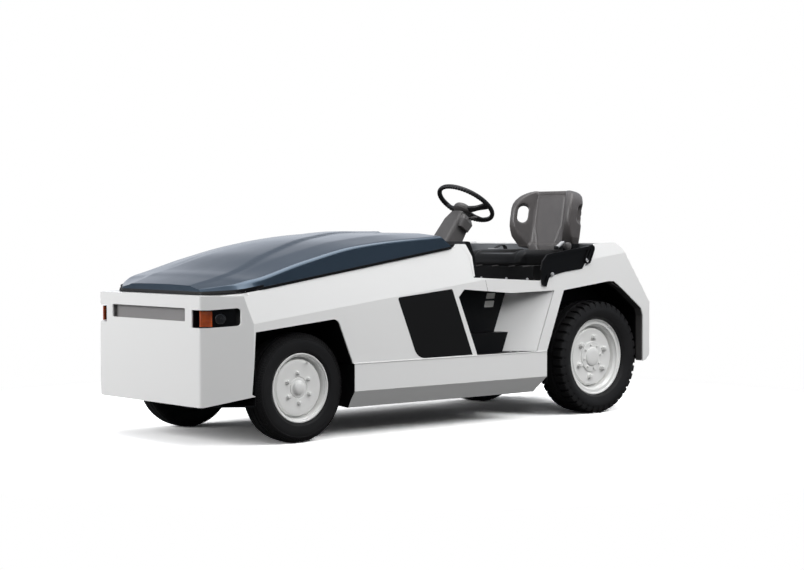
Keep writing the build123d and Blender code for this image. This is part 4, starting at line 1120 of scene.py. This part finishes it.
# seat back: foot of its front face, lean, how much wider below its shoulders, and its seam lines
back_foot = Vector((-1.062, 0.240, 1.030))
back_lean = math.radians(10)
back_widen = 0.07
shoulder = 0.35
shoulder_run = 0.12
edge_seam_depth = 0.055
edge_seam_foot = 0.02
wing_half = 0.118
wing_narrower = 0.05
wing_narrow_run = 0.14
top_seam = 0.335
top_seam_bow = 0.3


def soft_copy(node, name, voxel, rounds):
    """A remeshed and softened bmesh of a CAD solid."""
    joined = bmesh.new()
    joined.from_mesh(frame["nodes"][node].data)
    bmesh.ops.remove_doubles(joined, verts=joined.verts, dist=1e-5)
    data = bpy.data.meshes.new(name + " blank")
    joined.to_mesh(data)
    joined.free()
    blank = bpy.data.objects.new(name + " blank", data)
    bpy.context.scene.collection.objects.link(blank)
    remesh = blank.modifiers.new("Remesh", "REMESH")
    remesh.mode = "VOXEL"
    remesh.voxel_size = voxel
    bpy.context.view_layer.update()
    evaluated = blank.evaluated_get(bpy.context.evaluated_depsgraph_get())
    mesh = bmesh.new()
    mesh.from_mesh(evaluated.to_mesh())
    evaluated.to_mesh_clear()
    bpy.data.objects.remove(blank)
    for _ in range(rounds):
        bmesh.ops.smooth_vert(mesh, verts=mesh.verts, factor=0.5,
                              use_axis_x=True, use_axis_y=True, use_axis_z=True)
    return mesh


def seam(mesh, distance, depth):
    """Sinks the surface along a line given by a distance function."""
    mesh.normal_update()
    for vert in mesh.verts:
        away = distance(vert)
        if away < 3 * seam_width:
            vert.co -= vert.normal * depth * math.exp(-(away / seam_width) ** 2)


def cushion_line(vert):
    """How far a vertex is from the cushion's two seams, which show only on top."""
    if vert.normal.z < 0.3:
        return 1.0
    half = cushion_seam_half + cushion_spread * (vert.co.x - cushion_narrow) ** 2
    return abs(abs(vert.co.y - seat_middle) - half)


def back_line(vert, up, forward):
    """How far a vertex is from the seat back's seams, in front or round the edge."""
    place = vert.co - back_foot
    along, out, sideways = place.dot(up), place.dot(forward), place.y
    if vert.normal.dot(forward) < 0.2:
        return abs(out + edge_seam_depth) if along > edge_seam_foot else 1.0
    half = wing_half - wing_narrower * max(0.0, wing_narrow_run - along) / wing_narrow_run
    lines = [abs(abs(sideways) - half) if along < top_seam else 1.0]
    if abs(sideways) < half + 0.004:
        lines.append(abs(along - top_seam + top_seam_bow * sideways * sideways))
    return min(lines)


class TUG_OT_seat(bpy.types.Operator):
    """Form the seat's cushion and back with their seams"""
    bl_idname = "tug.seat"
    bl_label = "Seat"

    def execute(self, context):
        sizes = context.scene.tug_sizes
        mesh = soft_copy("seat_cushion", "cushion", sizes.seat_voxel, 5)
        seam(mesh, cushion_line, sizes.seam_depth * cushion_seam_share)
        cushion = piece("cushion", mesh, "vehicle", "cushion_vinyl", angle=180.0)
        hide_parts("seat_cushion")

        mesh = soft_copy("seat_back", "backrest", sizes.seat_voxel, 5)
        up = Vector((-math.sin(back_lean), 0, math.cos(back_lean)))
        forward = Vector((math.cos(back_lean), 0, math.sin(back_lean)))
        for vert in mesh.verts:
            below = shoulder - (vert.co - back_foot).dot(up)
            widen = 1 + back_widen * min(1.0, max(0.0, below / shoulder_run))
            vert.co.y = back_foot.y + (vert.co.y - back_foot.y) * widen
        seam(mesh, lambda vert: back_line(vert, up, forward), sizes.seam_depth)
        back = piece("backrest", mesh, "vehicle", "seat_vinyl", angle=180.0)
        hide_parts("seat_back")
        return {"FINISHED"}


# belt's two ends: points, width, thickness and the direction across the webbing
loose_end = (((-0.985, -0.030, 0.960), (-0.981, -0.030, 1.005), (-0.965, -0.026, 1.034),
              (-0.935, -0.018, 1.044), (-0.895, -0.008, 1.038), (-0.860, 0.002, 1.026)),
             0.046, 0.0024, (0.25, 1, 0))
buckle_end = (((-0.985, 0.497, 0.965), (-0.980, 0.497, 1.000), (-0.962, 0.496, 1.022),
               (-0.940, 0.494, 1.030)), 0.030, 0.004, (0.2, 1, 0))
buckle_box = ((-0.945, 0.478, 1.018), (-0.890, 0.508, 1.040))
tongue_box = ((-0.861, -0.018, 1.021), (-0.810, 0.022, 1.0235))
latch_box = ((-0.030, 0.486, -0.004), (0.030, 0.512, 0.004))
latch_tilt = math.radians(32)
latch_place = (-0.925, 0.0, 1.050)

# recline knob: its middle, and its outline as radius and height
knob_middle = Vector((-0.985, 0.505, 1.036))
knob_line = ((0.0, 0.028), (0.010, 0.0265), (0.019, 0.021), (0.0235, 0.011), (0.024, 0.0),
             (0.0225, -0.010), (0.017, -0.020), (0.011, -0.026), (0.010, -0.045), (0.0, -0.046))


class TUG_OT_seat_belt(bpy.types.Operator):
    """Make the belt's loose end, its buckle and tongue, and the knob beside the seat"""
    bl_idname = "tug.seat_belt"
    bl_label = "Seat belt"

    def execute(self, context):
        mesh = bmesh.new()
        strap(mesh, *loose_end)
        strap(mesh, *buckle_end)
        piece("belt", mesh, "vehicle", "mat_rubber", "webbing")
        mesh = bmesh.new()
        add_box(mesh, *buckle_box)
        bmesh.ops.bevel(mesh, geom=list(mesh.edges), offset=0.004, segments=3, profile=0.5, affect="EDGES",
                        material=-1)
        piece("buckle", mesh, "vehicle", "trim_black")
        mesh = bmesh.new()
        add_box(mesh, *tongue_box)
        latch = add_box(mesh, *latch_box)
        bmesh.ops.rotate(mesh, verts=latch, cent=(0, 0, 0), matrix=Matrix.Rotation(latch_tilt, 3, "Y"))
        bmesh.ops.translate(mesh, verts=latch, vec=latch_place)
        piece("belt_tongue", mesh, "vehicle", "bare_steel")
        line = [knob_middle + Vector((radius, 0, height)) for radius, height in knob_line]
        piece("recline_knob", turned(line, knob_middle, (0, 0, 1), 32), "vehicle", "shroud_grey", angle=60.0)
        return {"FINISHED"}


# Stage

# floor: its shade for the camera and for the light it sends back, and where it fades to plain white
floor_size = 60.0
floor_seen = 1.85
floor_bounced = 0.07
fade_start = 2.2
fade_end = 3.4

# what gloss sees: across the tug from right to left, and from the horizon up
band_across = ((0.0, (0.50, 0.51, 0.53)), (0.34, (0.50, 0.51, 0.53)), (0.43, (1.0, 1.0, 1.0)),
               (0.56, (1.0, 1.0, 1.0)), (0.66, (0.13, 0.15, 0.17)), (1.0, (0.13, 0.15, 0.17)))
band_up = ((0.0, (0.42, 0.43, 0.44)), (0.08, (0.52, 0.53, 0.55)), (0.17, (0.62, 0.64, 0.67)),
           (0.24, (0.58, 0.60, 0.64)), (0.36, (0.32, 0.33, 0.35)), (0.50, (0.20, 0.22, 0.25)),
           (0.64, (0.27, 0.28, 0.30)), (1.0, (0.42, 0.42, 0.43)))
band_strength = 3.0
surround_strength = 0.26

# lamps: name, place, aim, size, power and whether gloss sees them
studio_lamps = (("overhead", (0.2, 0.6, 5.0), (0, 0, 0.5), 5.5, 245.0, True),
                ("front", (7.5, -2.5, 3.0), (0.8, 0.0, 0.6), 3.5, 400.0, True),
                ("side", (-3.0, 6.2, 5.0), (-0.4, 0.0, 0.6), 3.5, 350.0, False),
                ("fill", (5.5, 8.0, 4.6), (0.0, 0.0, 0.6), 3.0, 140.0, False))

camera_place = (6.6759, 7.757, 1.1234)
camera_turn = (math.radians(90.0 - 1.77), 0.0, math.radians(138.98))
camera_lens = 76.27


def mix(tree, share, first, second):
    """One shader where the share is 0, the other where it is 1."""
    return add_node(tree, "MixShader", feeds={"Fac": share, 1: first, 2: second}).outputs["Shader"]


def floor_material():
    """White for the camera, dark for the light it sends back, and plain white far away."""
    material = bpy.data.materials.new("floor")
    material.use_nodes = True
    tree = material.node_tree
    camera_ray = add_node(tree, "LightPath").outputs["Is Camera Ray"]
    seen, bounced = [add_node(tree, "BsdfDiffuse", {"Color": (shade, shade, shade, 1)}).outputs["BSDF"]
                     for shade in (floor_seen, floor_bounced)]
    away = add_node(tree, "VectorMath", feeds={0: own_place(tree)}, operation="LENGTH")
    fade = add_node(tree, "MapRange", {"From Min": fade_start, "From Max": fade_end},
                    {"Value": away.outputs["Value"]}, interpolation_type="SMOOTHSTEP")
    far = add_node(tree, "Math", feeds={0: fade.outputs["Result"], 1: camera_ray}, operation="MULTIPLY")
    white = add_node(tree, "Emission").outputs["Emission"]
    shown = mix(tree, far.outputs["Value"], mix(tree, camera_ray, bounced, seen), white)
    tree.links.new(shown, tree.nodes["Material Output"].inputs["Surface"])
    return material


def surround():
    """Dim light all round, white for the camera and glass, and a studio's bands for gloss."""
    world = bpy.data.worlds.new("surround")
    world.use_nodes = True
    tree = world.node_tree
    light = tree.nodes["Background"]
    light.inputs["Color"].default_value = (0.95, 0.97, 1.0, 1)
    light.inputs["Strength"].default_value = surround_strength
    white = add_node(tree, "Background", {"Color": (1, 1, 1, 1)})
    view = add_node(tree, "SeparateXYZ", feeds={"Vector": add_node(tree, "TexCoord").outputs["Generated"]})
    across = add_node(tree, "MapRange", {"From Min": -1.0}, {"Value": view.outputs["Y"]})
    product = add_node(tree, "Mix", {"Factor": 1.0},
                       {"A": shades(tree, across.outputs["Result"], band_across),
                        "B": shades(tree, view.outputs["Z"], band_up)},
                       data_type="RGBA", blend_type="MULTIPLY")
    bands = add_node(tree, "Background", {"Strength": band_strength}, {"Color": product.outputs["Result"]})
    path = add_node(tree, "LightPath").outputs
    seen = add_node(tree, "Math", feeds={0: path["Is Camera Ray"], 1: path["Is Transmission Ray"]},
                    operation="MAXIMUM")
    lit = mix(tree, path["Is Glossy Ray"], light.outputs["Background"], bands.outputs["Background"])
    shown = mix(tree, seen.outputs["Value"], lit, white.outputs["Background"])
    tree.links.new(shown, tree.nodes["World Output"].inputs["Surface"])
    return world


class TUG_OT_stage(bpy.types.Operator):
    """Set the floor, the soft light, the white surround and the camera"""
    bl_idname = "tug.stage"
    bl_label = "Stage"

    def execute(self, context):
        scene = context.scene
        mesh = bmesh.new()
        bmesh.ops.create_grid(mesh, x_segments=1, y_segments=1, size=floor_size)
        data = bpy.data.meshes.new("floor")
        mesh.to_mesh(data)
        mesh.free()
        floor = bpy.data.objects.new("floor", data)
        scene.collection.objects.link(floor)
        data.materials.append(floor_material())
        scene.world = surround()
        for name, place, aim, size, power, mirrors in studio_lamps:
            lamp = bpy.data.lights.new(name, "AREA")
            lamp.shape = "SQUARE"
            lamp.size = size
            lamp.energy = power
            holder = bpy.data.objects.new(name, lamp)
            holder.location = place
            holder.rotation_euler = (Vector(aim) - Vector(place)).to_track_quat("-Z", "Y").to_euler()
            holder.visible_glossy = mirrors
            scene.collection.objects.link(holder)
        camera = bpy.data.cameras.new("camera")
        camera.sensor_fit = "HORIZONTAL"
        camera.sensor_width = 36.0
        camera.lens = camera_lens
        camera.clip_end = 200.0
        holder = bpy.data.objects.new("camera", camera)
        holder.location = camera_place
        holder.rotation_euler = camera_turn
        scene.collection.objects.link(holder)
        scene.camera = holder
        scene.view_settings.view_transform = "Standard"
        return {"FINISHED"}


class TUG_PT_panel(bpy.types.Panel):
    """Lists the pieces that dress the tug"""
    bl_idname = "TUG_PT_panel"
    bl_label = "Baggage tug"
    bl_space_type = "VIEW_3D"
    bl_region_type = "UI"
    bl_category = "Tug"

    def draw(self, context):
        for operator in operators:
            self.layout.operator(operator.bl_idname)


operators = (TUG_OT_finishes, TUG_OT_tyres, TUG_OT_wheel_nuts, TUG_OT_hood_skin, TUG_OT_hood_seal,
             TUG_OT_side_film, TUG_OT_sill_trim, TUG_OT_cowl, TUG_OT_lamps, TUG_OT_hand_wheel,
             TUG_OT_fasteners, TUG_OT_seat, TUG_OT_seat_belt, TUG_OT_stage)
classes = (TugSizes, TugColours) + operators + (TUG_PT_panel,)


def register():
    for item in classes:
        bpy.utils.register_class(item)
    bpy.types.Scene.tug_sizes = PointerProperty(type=TugSizes)
    bpy.types.Scene.tug_colours = PointerProperty(type=TugColours)


def unregister():
    del bpy.types.Scene.tug_colours
    del bpy.types.Scene.tug_sizes
    for item in reversed(classes):
        bpy.utils.unregister_class(item)


def main():
    register()
    bpy.ops.tug.finishes()
    bpy.ops.tug.tyres()
    bpy.ops.tug.wheel_nuts()
    bpy.ops.tug.hood_skin()
    bpy.ops.tug.hood_seal()
    bpy.ops.tug.side_film()
    bpy.ops.tug.sill_trim()
    bpy.ops.tug.cowl()
    bpy.ops.tug.lamps()
    bpy.ops.tug.hand_wheel()
    bpy.ops.tug.fasteners()
    bpy.ops.tug.seat()
    bpy.ops.tug.seat_belt()
    bpy.ops.tug.stage()


if __name__ == "__main__":
    main()
